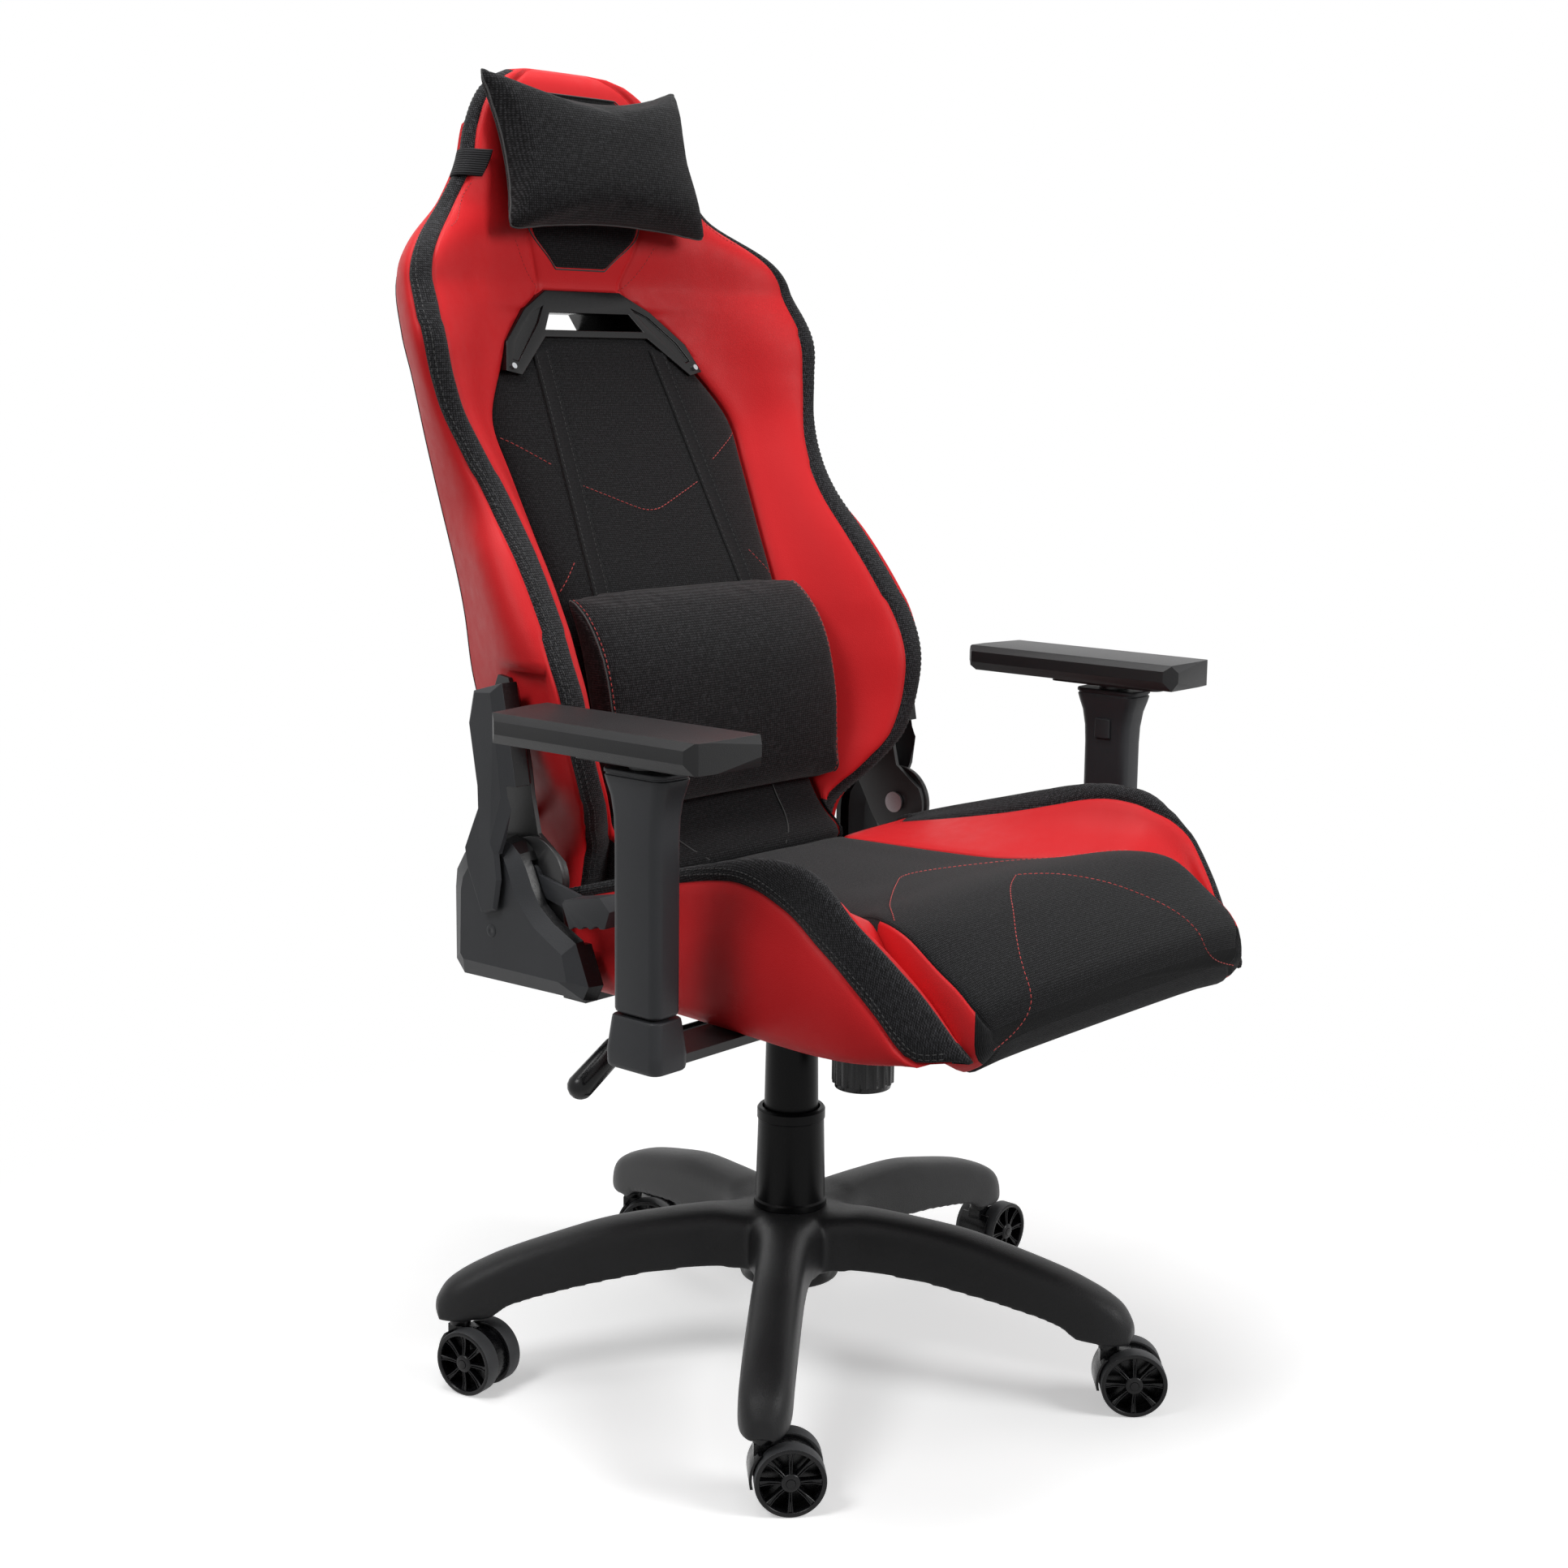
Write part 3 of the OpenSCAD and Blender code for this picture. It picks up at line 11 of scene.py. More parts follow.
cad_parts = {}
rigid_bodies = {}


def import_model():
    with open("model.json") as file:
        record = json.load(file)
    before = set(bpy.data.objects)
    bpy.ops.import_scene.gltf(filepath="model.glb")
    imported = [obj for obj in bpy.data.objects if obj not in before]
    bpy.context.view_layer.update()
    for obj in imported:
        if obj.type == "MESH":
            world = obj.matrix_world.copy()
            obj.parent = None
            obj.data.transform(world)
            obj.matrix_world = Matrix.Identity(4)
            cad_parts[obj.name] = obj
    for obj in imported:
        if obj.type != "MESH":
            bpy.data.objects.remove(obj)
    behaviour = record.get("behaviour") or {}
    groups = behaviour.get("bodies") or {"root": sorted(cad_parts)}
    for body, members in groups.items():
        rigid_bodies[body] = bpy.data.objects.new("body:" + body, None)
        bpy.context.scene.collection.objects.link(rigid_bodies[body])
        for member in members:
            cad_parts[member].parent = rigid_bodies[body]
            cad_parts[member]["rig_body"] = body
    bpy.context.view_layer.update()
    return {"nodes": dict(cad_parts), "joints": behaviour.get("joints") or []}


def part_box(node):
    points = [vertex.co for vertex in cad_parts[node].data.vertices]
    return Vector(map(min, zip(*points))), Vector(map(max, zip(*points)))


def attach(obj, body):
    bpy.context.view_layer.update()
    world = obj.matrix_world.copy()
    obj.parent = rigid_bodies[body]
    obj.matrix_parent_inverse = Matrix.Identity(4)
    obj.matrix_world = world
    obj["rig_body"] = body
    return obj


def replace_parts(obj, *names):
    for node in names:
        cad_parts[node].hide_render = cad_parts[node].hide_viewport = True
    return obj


bl_info = {
    "name": "Racing-style swivel chair",
    "version": (1, 0, 0),
    "blender": (4, 5, 0),
    "location": "3D View > Sidebar > Chair",
    "description": "Upholstery, plastics, castors and studio of a racing-style swivel chair",
    "category": "Object",
}

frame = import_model()
JOINTS = {joint["name"]: joint for joint in frame["joints"]}
MM = 0.001
SIDES = (-1, 1)

# Measures of the solids, in millimetres: the recline pivot and the underside of the seat's cushion
PIVOT = Vector(JOINTS["back_recline"]["pos_m"]) / MM
SEAT_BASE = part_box("seat_frame")[1].z / MM
# The back's panel: its lean, its cushion's thickness, and the height above the pivot up to which it swells
BACK_LEAN = math.tan(math.radians(25))
PAD_T = 44
LOW_H = 245
# The rebate behind the wings that takes the rear shell, and the half width between its walls
STEP_IN = 8
INNER_X = 172
# Where the cushion ends in front of the back, and only the bolsters' horns go on
SEAT_REAR = 44


# ---------- numbers ----------
def sizes():
    """The sizes that a user may change."""
    return bpy.context.scene.chair_sizes


def smooth(table, place):
    """Smooth value at a place through a table of (place, value) rows."""
    last = len(table) - 2
    i = next((k for k in range(last) if place < table[k + 1][0]), last)

    def slope(k):
        a, b = max(k - 1, 0), min(k + 1, last + 1)
        return (table[b][1] - table[a][1]) / (table[b][0] - table[a][0])

    step = table[i + 1][0] - table[i][0]
    s = min(max((place - table[i][0]) / step, 0), 1)
    return (table[i][1] * (1 + 2 * s) * (1 - s) ** 2 + slope(i) * step * s * (1 - s) ** 2
            + table[i + 1][1] * s * s * (3 - 2 * s) - slope(i + 1) * step * s * s * (1 - s))


def ease(low, high, place):
    """0 before low, 1 after high, and a soft ramp between them, whichever is greater."""
    s = min(max((place - low) / (high - low), 0), 1)
    return s * s * (3 - 2 * s)


def spaced(stops, step):
    """Places from the first stop to the last, through each stop, about a step apart."""
    places = []
    for a, b in zip(stops, stops[1:]):
        places += list(np.linspace(a, b, max(2, round(abs(b - a) / step) + 1))[:-1])
    return places + [stops[-1]]


def rounded(points, turns=3, closed=False):
    """A line whose corners are cut into a smooth curve, with its ends kept."""
    line = np.array(points, float)
    for _ in range(turns):
        a, b = (line, np.roll(line, -1, 0)) if closed else (line[:-1], line[1:])
        cut = np.empty((2 * len(a), line.shape[1]))
        cut[0::2] = 0.75 * a + 0.25 * b
        cut[1::2] = 0.25 * a + 0.75 * b
        if not closed:
            cut[0], cut[-1] = line[0], line[-1]
        line = cut
    return line


def lengths(line):
    """Distance along a line at each of its points."""
    return np.concatenate([[0], np.cumsum(np.linalg.norm(np.diff(line, axis=0), axis=1))])


def along(line, places):
    """Points of a line at distances along it."""
    s = lengths(line)
    return np.array([np.interp(places, s, line[:, k]) for k in range(line.shape[1])]).T


def mark(line, point):
    """Distance along a line to where it passes closest to a point."""
    return lengths(line)[np.argmin(np.linalg.norm(line - np.array(point, float), axis=1))]


# ---------- meshes ----------
def piece(name, points, faces, finishes, indices=None, uv=None, body=None, slot=None):
    """A smooth-shaded mesh object from points in millimetres, with finishes by name, riding on a body."""
    mesh = bpy.data.meshes.new(name)
    mesh.from_pydata([tuple(MM * c for c in p) for p in points], [], [tuple(f) for f in faces])
    for finish_name in finishes:
        mesh.materials.append(finish(finish_name))
    if indices is not None:
        mesh.polygons.foreach_set("material_index", indices)
    if uv is not None:
        layer = mesh.uv_layers.new(name="cloth")
        corners = np.empty(len(mesh.loops), int)
        mesh.loops.foreach_get("vertex_index", corners)
        layer.data.foreach_set("uv", (np.asarray(uv)[corners] * MM).ravel())
    mesh.shade_smooth()
    form = bmesh.new()
    form.from_mesh(mesh)
    bmesh.ops.recalc_face_normals(form, faces=form.faces)
    form.to_mesh(mesh)
    form.free()
    return placed(bpy.data.objects.new(name, mesh), body)


def placed(thing, body=None):
    """Links an object to the scene and lets it ride on a body."""
    if thing.name not in bpy.context.scene.objects:
        bpy.context.scene.collection.objects.link(thing)
    if body:
        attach(thing, body)
    return thing


def applied(thing):
    """Turns an object's modifiers into plain mesh."""
    bpy.context.view_layer.update()
    mesh = bpy.data.meshes.new_from_object(thing.evaluated_get(bpy.context.evaluated_depsgraph_get()))
    old = thing.data
    thing.modifiers.clear()
    thing.data = mesh
    bpy.data.meshes.remove(old)
    return thing


def remove(thing):
    """Deletes an object and its mesh."""
    mesh = thing.data
    bpy.data.objects.remove(thing)
    bpy.data.meshes.remove(mesh)


def joined(name, parts):
    """One object made of several, with their materials kept."""
    mesh = bmesh.new()
    materials = []
    for part in parts:
        start = len(mesh.faces)
        mesh.from_mesh(part.data)
        mesh.faces.ensure_lookup_table()
        for face in list(mesh.faces)[start:]:
            material = part.data.materials[face.material_index]
            if material not in materials:
                materials.append(material)
            face.material_index = materials.index(material)
        remove(part)
    out = bpy.data.meshes.new(name)
    mesh.to_mesh(out)
    mesh.free()
    for material in materials:
        out.materials.append(material)
    return placed(bpy.data.objects.new(name, out))


def cut(thing, cutter, folded=False):
    """Takes the cutter's volume out of an object, which may fold into itself, and removes the cutter."""
    modifier = thing.modifiers.new("cut", "BOOLEAN")
    modifier.object = cutter
    modifier.solver = "EXACT"
    modifier.use_self = folded
    applied(thing)
    remove(cutter)
    return thing


def quads(rings, count, closed=True, looped=False, start=0):
    """Faces between neighbouring rings of points. The last ring of a looped form meets its first."""
    return [[start + i * count + j, start + i * count + (j + 1) % count,
             start + (i + 1) % rings * count + (j + 1) % count, start + (i + 1) % rings * count + j]
            for i in range(rings if looped else rings - 1) for j in range(count if closed else count - 1)]


def caps(rings, count, start=0):
    """Faces that close the first and the last of some rings."""
    last = start + (rings - 1) * count
    return [list(range(start + count - 1, start - 1, -1)), list(range(last, last + count))]


def slab(outline, near, far):
    """Points and faces of a prism on an outline, between the places that near and far give its points."""
    count = len(outline)
    return [near(p) for p in outline] + [far(p) for p in outline], caps(2, count) + quads(2, count)


def bevelled(thing, width, segments=3, angle=28):
    """Rounds an object's sharp edges."""
    bevel = thing.modifiers.new("bevel", "BEVEL")
    bevel.width = width * MM
    bevel.segments = segments
    bevel.limit_method = "ANGLE"
    bevel.angle_limit = math.radians(angle)
    bevel.harden_normals = True
    thing.data.shade_smooth()
    return applied(thing)


def skin(name, rings, material, body=None, slot=None, uv=None):
    """A closed form through rings of equal length."""
    count = len(rings[0])
    points = [p for ring in rings for p in ring]
    faces = quads(len(rings), count) + caps(len(rings), count)
    return piece(name, points, faces, [material], uv=uv, body=body, slot=slot)


def turned(profile, sides=72):
    """Points and faces of a closed profile of (radius, height) turned about z."""
    points = [(r * math.cos(a), r * math.sin(a), z)
              for a in np.linspace(0, 2 * math.pi, sides, endpoint=False) for r, z in profile]
    return points, quads(sides, len(profile), looped=True)


def block_ring(wide, deep, radius, centre, z):
    """A level rounded rectangle."""
    ring = []
    for quarter, (sx, sy) in enumerate(((1, 1), (-1, 1), (-1, -1), (1, -1))):
        for a in np.radians(90 * quarter + np.linspace(0, 90, 6)):
            ring.append((centre[0] + sx * (wide / 2 - radius) + radius * math.cos(a),
                         centre[1] + sy * (deep / 2 - radius) + radius * math.sin(a), z))
    return ring


def inset(outline, by):
    """An outline drawn in by a distance, corner by corner."""
    line = [Vector(p) for p in outline]
    area = sum(a.cross(b) for a, b in zip(line, line[1:] + line[:1]))
    made = []
    for before, here, after in zip(line[-1:] + line, line, line[1:] + line[:1]):
        a, b = (here - before).normalized(), (after - here).normalized()
        na, nb = Vector((-a.y, a.x)), Vector((-b.y, b.x))
        way = (na + nb).normalized() * math.copysign(1, area)
        made.append(here + way * by / max(way.dot(na * math.copysign(1, area)), 0.5))
    return [tuple(p) for p in made]


def softened(node, width, material, segments=3, angle=28):
    """The solid's own form with its sharp edges rounded, standing for that solid."""
    source = frame["nodes"][node]
    mesh = bmesh.new()
    mesh.from_mesh(source.data)
    bmesh.ops.remove_doubles(mesh, verts=mesh.verts, dist=0.00002)
    bmesh.ops.dissolve_limit(mesh, angle_limit=math.radians(1), verts=mesh.verts, edges=mesh.edges)
    out = bpy.data.meshes.new(node + "_finish")
    mesh.to_mesh(out)
    mesh.free()
    out.materials.clear()
    out.materials.append(finish(material))
    thing = placed(bpy.data.objects.new(node + "_finish", out))
    bevelled(thing, width, segments, angle)
    placed(thing, source["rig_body"])
    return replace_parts(thing, node)


# How far from a seam its dip is steep, and how far it reaches
SEAM_NEAR, SEAM_WIDE = 1.6, 4.5


def panel_columns(marks, counts, seams):
    """Columns along a section with panels between marks: places, seam depth, fullness and panel."""
    places, sink, puff, owner = [], [], [], []
    for k, count in enumerate(counts):
        a, b = marks[k], marks[k + 1]
        width = max(b - a, 0.4)
        near, wide = min(SEAM_NEAR, 0.12 * width), min(SEAM_WIDE, 0.3 * width)
        row = [a, a + near, *np.linspace(a + wide, b - wide, count), b - near]
        left, right = seams[k], seams[k + 1]
        dips = [left, 0.45 * left] + [0] * count + [0.45 * right]
        dips[2], dips[-2] = 0.06 * left, 0.06 * right
        places += row
        sink += dips
        puff += [4 * (p - a) * (b - p) / (b - a) ** 2 if b - a > 1 else 0 for p in row]
        owner += [k] * len(row)
    return places, sink, puff, owner


def swollen(grid, push):
    """Rows of points moved out along the normals of their surface, with the end rows kept."""
    grid, push = np.array(grid), np.array(push)
    out = np.cross(np.roll(grid, -1, 1) - np.roll(grid, 1, 1), np.gradient(grid, axis=0))
    out /= np.maximum(np.linalg.norm(out, axis=2, keepdims=True), 1e-9)
    if (out * (grid - grid.mean(axis=1, keepdims=True))).sum() < 0:
        out = -out
    ends = np.minimum(np.arange(len(grid)), np.arange(len(grid))[::-1])
    return grid + out * push[:, :, None] * np.clip(ends / 2, 0, 1)[:, None, None]


def upholstered(rows, section, counts, seams, paint, swell, depth):
    """A closed cover lofted over rows. section(row) gives a closed line in 3-D and its marks;
    paint(row, panel) gives the material's index; swell is each panel's fullness, depth the seams'."""
    grid, push, uv = [], [], []
    travel = 0.0
    for row in rows:
        line, marks = section(row)
        places, sink, puff, owner = panel_columns(marks, counts, seams)
        ring = along(line, places)
        if grid:
            travel += float(np.median(np.linalg.norm(ring - grid[-1], axis=1)))
        grid.append(ring)
        push.append([swell[k] * f - depth * s for s, f, k in zip(sink, puff, owner)])
        uv += [(p, travel) for p in places]
    faces = quads(len(rows), len(owner)) + caps(len(rows), len(owner))
    indices = [paint(0.5 * (a + b), k) for a, b in zip(rows, rows[1:]) for k in owner]
    indices += [paint(rows[0], 0), paint(rows[-1], 0)]
    return swollen(grid, push).reshape(-1, 3), faces, indices, uv


def both_sides(points, faces, indices, uv):
    """A form and its mirror in one mesh."""
    mirror = [(-p[0], p[1], p[2]) for p in points]
    turned_faces = [[v + len(points) for v in face[::-1]] for face in faces]
    return [*points, *mirror], faces + turned_faces, indices * 2, uv * 2


# ---------- materials ----------
def linear(code):
    """Linear colour of an sRGB hex value, or of a colour that a user may change, by its name."""
    if not code.startswith("#"):
        return (*getattr(bpy.context.scene.chair_colours, code), 1)
    parts = [int(code[k:k + 2], 16) / 255 for k in (1, 3, 5)]
    return (*(c / 12.92 if c <= 0.04045 else ((c + 0.055) / 1.055) ** 2.4 for c in parts), 1)


def add(tree, kind, inputs=None, **settings):
    """Adds a node with its settings. An input is a value, a socket to link, or a node's first output."""
    made = tree.nodes.new(kind)
    for key, value in settings.items():
        setattr(made, key, value)
    for socket, value in (inputs or {}).items():
        if isinstance(value, bpy.types.Node):
            value = value.outputs[0]
        if isinstance(value, bpy.types.NodeSocket):
            tree.links.new(value, made.inputs[socket])
        else:
            made.inputs[socket].default_value = value
    return made


def blank(name):
    """A new material and its empty node tree."""
    material = bpy.data.materials.new(name)
    material.use_nodes = True
    material.node_tree.nodes.clear()
    return material, material.node_tree


def surface(tree, shade, dark, light, relief, depth, strength, **sockets):
    """The end of a finish: two colours mixed by a shade, and relief of a depth in millimetres."""
    tint = add(tree, "ShaderNodeMix", {"Factor": shade, 6: linear(dark), 7: linear(light)},
               data_type="RGBA").outputs[2]
    bump = add(tree, "ShaderNodeBump", {"Height": relief, "Distance": depth * MM, "Strength": strength})
    inputs = {socket.replace("_", " "): value for socket, value in sockets.items()}
    shader = add(tree, "ShaderNodeBsdfPrincipled", {"Base Color": tint, "Normal": bump, **inputs})
    add(tree, "ShaderNodeOutputMaterial", {"Surface": shader})


def waves_per(size):
    """Wave texture scale for one band in a size in millimetres."""
    return math.pi / 10 / (size * MM)


def cells_per(size):
    """Noise or Voronoi scale for features of a size in millimetres."""
    return 1 / (size * MM)


def leatherette(name, dark, light, roughness):
    """PU leatherette: embossed pebbles give a soft, slightly broken sheen. They are drawn 1.6 mm wide,
    about twice the real size, so that they show."""
    material, tree = blank(name)
    where = add(tree, "ShaderNodeTexCoord").outputs["Object"]
    pebble = add(tree, "ShaderNodeTexVoronoi", {"Vector": where, "Scale": cells_per(1.6)},
                 feature="DISTANCE_TO_EDGE")
    crease = add(tree, "ShaderNodeTexNoise", {"Vector": where, "Scale": cells_per(14), "Detail": 5.0})
    cloud = add(tree, "ShaderNodeTexNoise", {"Vector": where, "Scale": cells_per(120), "Detail": 2.0})
    shade = add(tree, "ShaderNodeMath", {0: cloud, 1: 1.2, 2: 0.5}, operation="MULTIPLY_ADD")
    grain = add(tree, "ShaderNodeMath", {0: pebble, 1: 0.22}, operation="MINIMUM")
    relief = add(tree, "ShaderNodeMath", {0: crease, 1: 0.5, 2: grain}, operation="MULTIPLY_ADD")
    gloss = add(tree, "ShaderNodeMath", {0: crease, 1: 0.22, 2: roughness - 0.12}, operation="MULTIPLY_ADD")
    surface(tree, shade, dark, light, relief, 0.5, 0.5, Roughness=gloss, Specular_IOR_Level=0.14)
    return material


def woven(name, dark, light, pitch, depth, uv=False):
    """Polyester weave: crossing threads catch the light as fine pale flecks on a matt ground. The pitch of
    about 2 mm is some four times the real one, so that the threads show."""
    material, tree = blank(name)
    where = add(tree, "ShaderNodeTexCoord").outputs["UV" if uv else "Object"]
    warp, weft = (add(tree, "ShaderNodeTexWave", {"Vector": where, "Scale": waves_per(pitch),
                                                  "Distortion": 1.2, "Detail": 1.0, "Detail Scale": 4.0},
                      bands_direction=way) for way in ("X", "Y" if uv else "Z"))
    fleck = add(tree, "ShaderNodeTexNoise", {"Vector": where, "Scale": cells_per(1.4 * pitch),
                                             "Detail": 4.0, "Roughness": 0.75})
    threads = add(tree, "ShaderNodeMath", {0: warp.outputs[1], 1: weft.outputs[1]}, operation="MULTIPLY")
    spots = add(tree, "ShaderNodeMath", {0: fleck, 1: 0.5}, operation="SUBTRACT")
    pale = add(tree, "ShaderNodeMath", {0: spots, 1: 2.6}, operation="MULTIPLY")
    shade = add(tree, "ShaderNodeMath", {0: threads, 1: 0.75, 2: pale}, operation="MULTIPLY_ADD")
    relief = add(tree, "ShaderNodeMath", {0: threads, 1: spots}, operation="ADD")
    surface(tree, shade, dark, light, relief, depth, 0.6, Roughness=0.92, Specular_IOR_Level=0.1,
            Sheen_Weight=0.1, Sheen_Roughness=0.5)
    return material


def moulded(name, dark, light, roughness, grit, depth, specular):
    """Injection-moulded plastic: a spark-eroded mould leaves a fine even grit that breaks the gloss. The
    grit is drawn several times coarser than the real 0.2 mm, so that it shows."""
    material, tree = blank(name)
    where = add(tree, "ShaderNodeTexCoord").outputs["Object"]
    sand = add(tree, "ShaderNodeTexNoise", {"Vector": where, "Scale": cells_per(grit), "Detail": 3.0,
                                            "Roughness": 0.7})
    cloud = add(tree, "ShaderNodeTexNoise", {"Vector": where, "Scale": cells_per(60), "Detail": 3.0})
    gloss = add(tree, "ShaderNodeMath", {0: sand, 1: 0.2, 2: roughness - 0.1}, operation="MULTIPLY_ADD")
    surface(tree, cloud, dark, light, sand, depth, 0.5, Roughness=gloss, Specular_IOR_Level=specular)
    return material


def metal(name, dark, light, roughness, metallic, grain):
    """Steel: drawn or coated, with faint marks of the tool or the powder's orange peel, 1.5 to 2.5 mm."""
    material, tree = blank(name)
    where = add(tree, "ShaderNodeTexCoord").outputs["Object"]
    streak = add(tree, "ShaderNodeTexNoise", {"Vector": where, "Scale": cells_per(grain), "Detail": 4.0})
    surface(tree, streak, dark, light, streak, 0.15, 0.4, Roughness=roughness, Metallic=metallic)
    return material


def webbing(name, dark, light, pitch):
    """Elastic webbing: ribs along the band at the real pitch, with a dull nylon sheen."""
    material, tree = blank(name)
    where = add(tree, "ShaderNodeTexCoord").outputs["UV"]
    rib = add(tree, "ShaderNodeTexWave", {"Vector": where, "Scale": waves_per(pitch)},
              bands_direction="X").outputs[1]
    surface(tree, rib, dark, light, rib, 0.6, 0.8, Roughness=0.85, Specular_IOR_Level=0.1,
            Sheen_Weight=0.04)
    return material


def thread(name, colour):
    """Polyester sewing thread: two plies twisted, seen as slanting bands every 1.2 mm."""
    material, tree = blank(name)
    where = add(tree, "ShaderNodeTexCoord").outputs["Object"]
    twist = add(tree, "ShaderNodeTexWave", {"Vector": where, "Scale": waves_per(1.2)},
                bands_direction="DIAGONAL")
    surface(tree, 1.0, colour, colour, twist.outputs[1], 0.2, 0.5, Roughness=0.6, Sheen_Weight=0.2)
    return material


# Each finish by its name: what makes it, its dark and light colour, and its measures in millimetres.
# The blacks' specular levels are low, because the white surroundings would wash them out.
FINISHES = {
    # Embossed red leatherette: a full, even red whose pebbles soften every highlight
    "red_leather": (leatherette, "red_dark", "red_light", 0.48),
    # The same skin in black: a low sheen that shows the form's slow curves
    "black_leather": (leatherette, "#161617", "#232324", 0.5),
    # Coarse cushion fabric, drawn at 2.2 mm so that it shows: matt, with grey flecks all over
    "cushion_weave": (woven, "#0b0b0c", "#363638", 2.2, 0.5),
    # Band fabric with thicker threads: the liveliest black, with light rows of thread
    "band_weave": (woven, "#131314", "#4a4a4d", 2.0, 0.7, True),
    # Panel fabric, drawn at 2 mm so that it shows: the deepest black, with faint flecks
    "panel_weave": (woven, "#09090a", "weave_fleck", 2.0, 0.5, True),
    # Flat strap fabric, close-woven: smoother and a little greyer than the panel under it
    "strap_weave": (woven, "#0e0e0f", "#29292b", 1.4, 0.25, True),
    # Glass-filled nylon from a grained mould: soft broad highlights on the base's crowned arms
    "grained_nylon": (moulded, "#1a1a1b", "#242425", 0.4, 1.3, 0.7, 0.2),
    # ABS from a fine-grained mould: an even charcoal satin that shows each facet as one tone
    "satin_abs": (moulded, "#2c2d2f", "plastic", 0.4, 1.2, 0.25, 0.22),
    # ABS from a polished mould: near black, with narrow bright edges
    "gloss_abs": (moulded, "#0e0e0f", "#161617", 0.24, 3.0, 0.08, 0.25),
    # Self-skinned polyurethane foam: a dull, slightly rubbery black
    "soft_polyurethane": (moulded, "#1c1c1d", "#262627", 0.4, 1.2, 0.35, 0.25),
    # Unfilled nylon from a smooth mould: deep black with small sharp glints on the spokes
    "wheel_nylon": (moulded, "#08080a", "#0e0e10", 0.26, 2.0, 0.1, 0.25),
    # Thermoplastic tread, moulded on: a matt dark grey ring
    "grey_tread": (moulded, "#2a2b2d", "#37383a", 0.6, 1.4, 0.3, 0.5),
    # Thin ABS sleeves of the column: black that hardly answers the light
    "column_abs": (moulded, "#060607", "#0a0a0b", 0.34, 2.0, 0.08, 0.1),
    # Powder-coated steel: a closed black skin with slight orange peel, so no metal shows
    "powder_coat": (metal, "#131314", "#1d1d1e", 0.42, 0.0, 2.5),
    # Chromed steel, ground and polished: a clear mirror with a trace of the grinding
    "bright_chrome": (metal, "#c4c6c8", "#dcdee0", 0.16, 1.0, 2.0),
    # Zinc-plated steel: a paler, softer mirror, a little cloudy
    "zinc_steel": (metal, "#a9abae", "#c9cbce", 0.3, 1.0, 1.5),
    # Ribbed elastic: fine grey lines along a black band
    "elastic": (webbing, "#0f0f10", "#333335", 2.2),
    # Contrast thread: a thin red line of short stitches
    "red_thread": (thread, "thread"),
    # Thread in the leatherette's shade: a darker red line that shows only near by
    "red_shade_thread": (thread, "#8E1D1F"),
    # Black thread: shows on the bands by its relief alone
    "black_thread": (thread, "#0b0b0c"),
}


def finish(name):
    """The material of a name, made when first asked for."""
    maker, *measures = FINISHES[name]
    return bpy.data.materials.get(name) or maker(name, *measures)


def coat(material, *nodes):
    """Gives CAD nodes a material."""
    for node in nodes:
        slots = frame["nodes"][node].data.materials
        slots.clear()
        slots.append(finish(material))


# ---------- sewing ----------
def tree_of(thing):
    """Search tree over an object's surface, in millimetres."""
    mesh = thing.data
    points = [v.co / MM for v in mesh.vertices]
    return BVHTree.FromPolygons(points, [list(face.vertices) for face in mesh.polygons])


def dropped(tree, point, direction):
    """Where a line from a point meets the surface, if it does."""
    return tree.ray_cast(Vector(point), Vector(direction))[0]


def sewn(name, runs, tree, material, body, slot, pitch=None, length=4.2, thick=0.5, gap=6.0):
    """Stitches along runs of points: small rounded bars that lie on the surface."""
    sunk = 0.1
    pitch = pitch or sizes().stitch_pitch / MM
    points, faces = [], []
    for run in runs:
        line = rounded(run, 2)
        total = lengths(line)[-1]
        for k in range(int(total / pitch)):
            ends = along(line, [k * pitch, k * pitch + length])
            found = [tree.find_nearest(Vector(p)) for p in ends]
            if any(f[0] is None or (f[0] - Vector(p)).length > gap for f, p in zip(found, ends)):
                continue
            a, b = found[0][0], found[1][0]
            up = (found[0][1] + found[1][1]).normalized()
            step = b - a
            if step.length < 0.3 * length or step.length > 2 * length:
                continue
            side = step.cross(up).normalized()
            start = len(points)
            points.append(a - up * (sunk + thick))
            for share, size in ((0.12, 0.75), (0.5, 1.0), (0.88, 0.75)):
                centre = a + step * share + up * (thick * 0.55 - sunk)
                points += [centre + side * thick * size, centre + up * thick * size,
                           centre - side * thick * size, centre - up * thick * size]
            points.append(b - up * (sunk + thick))
            faces += quads(3, 4, start=start + 1)
            for p, q in ((0, 1), (1, 2), (2, 3), (3, 0)):
                faces += [[start, start + 1 + q, start + 1 + p], [start + 9 + p, start + 9 + q, start + 13]]
    piece(name, points, faces, [material], body=body, slot=slot)


def cording(name, line, radius, body, slot, closed=False):
    """A round black cord along a line: piping, or a raised seam."""
    sides = 8
    line = np.array(line, float)
    ahead = np.roll(line, -1, 0) - np.roll(line, 1, 0)
    if not closed:
        ahead[0], ahead[-1] = line[1] - line[0], line[-1] - line[-2]
    points = []
    for centre, way in zip(line, ahead):
        way = Vector(way).normalized()
        side = way.cross(Vector((0.02, 0.05, 1)))
        side = side.normalized() if side.length > 1e-3 else Vector((1, 0, 0))
        top = side.cross(way)
        points += [Vector(centre) + radius * (side * math.cos(a) + top * math.sin(a))
                   for a in np.linspace(0, 2 * math.pi, sides, endpoint=False)]
    faces = quads(len(line), sides, looped=closed)
    if not closed:
        faces += caps(len(line), sides)
    piece(name, points, faces, ["black_thread"], body=body, slot=slot)


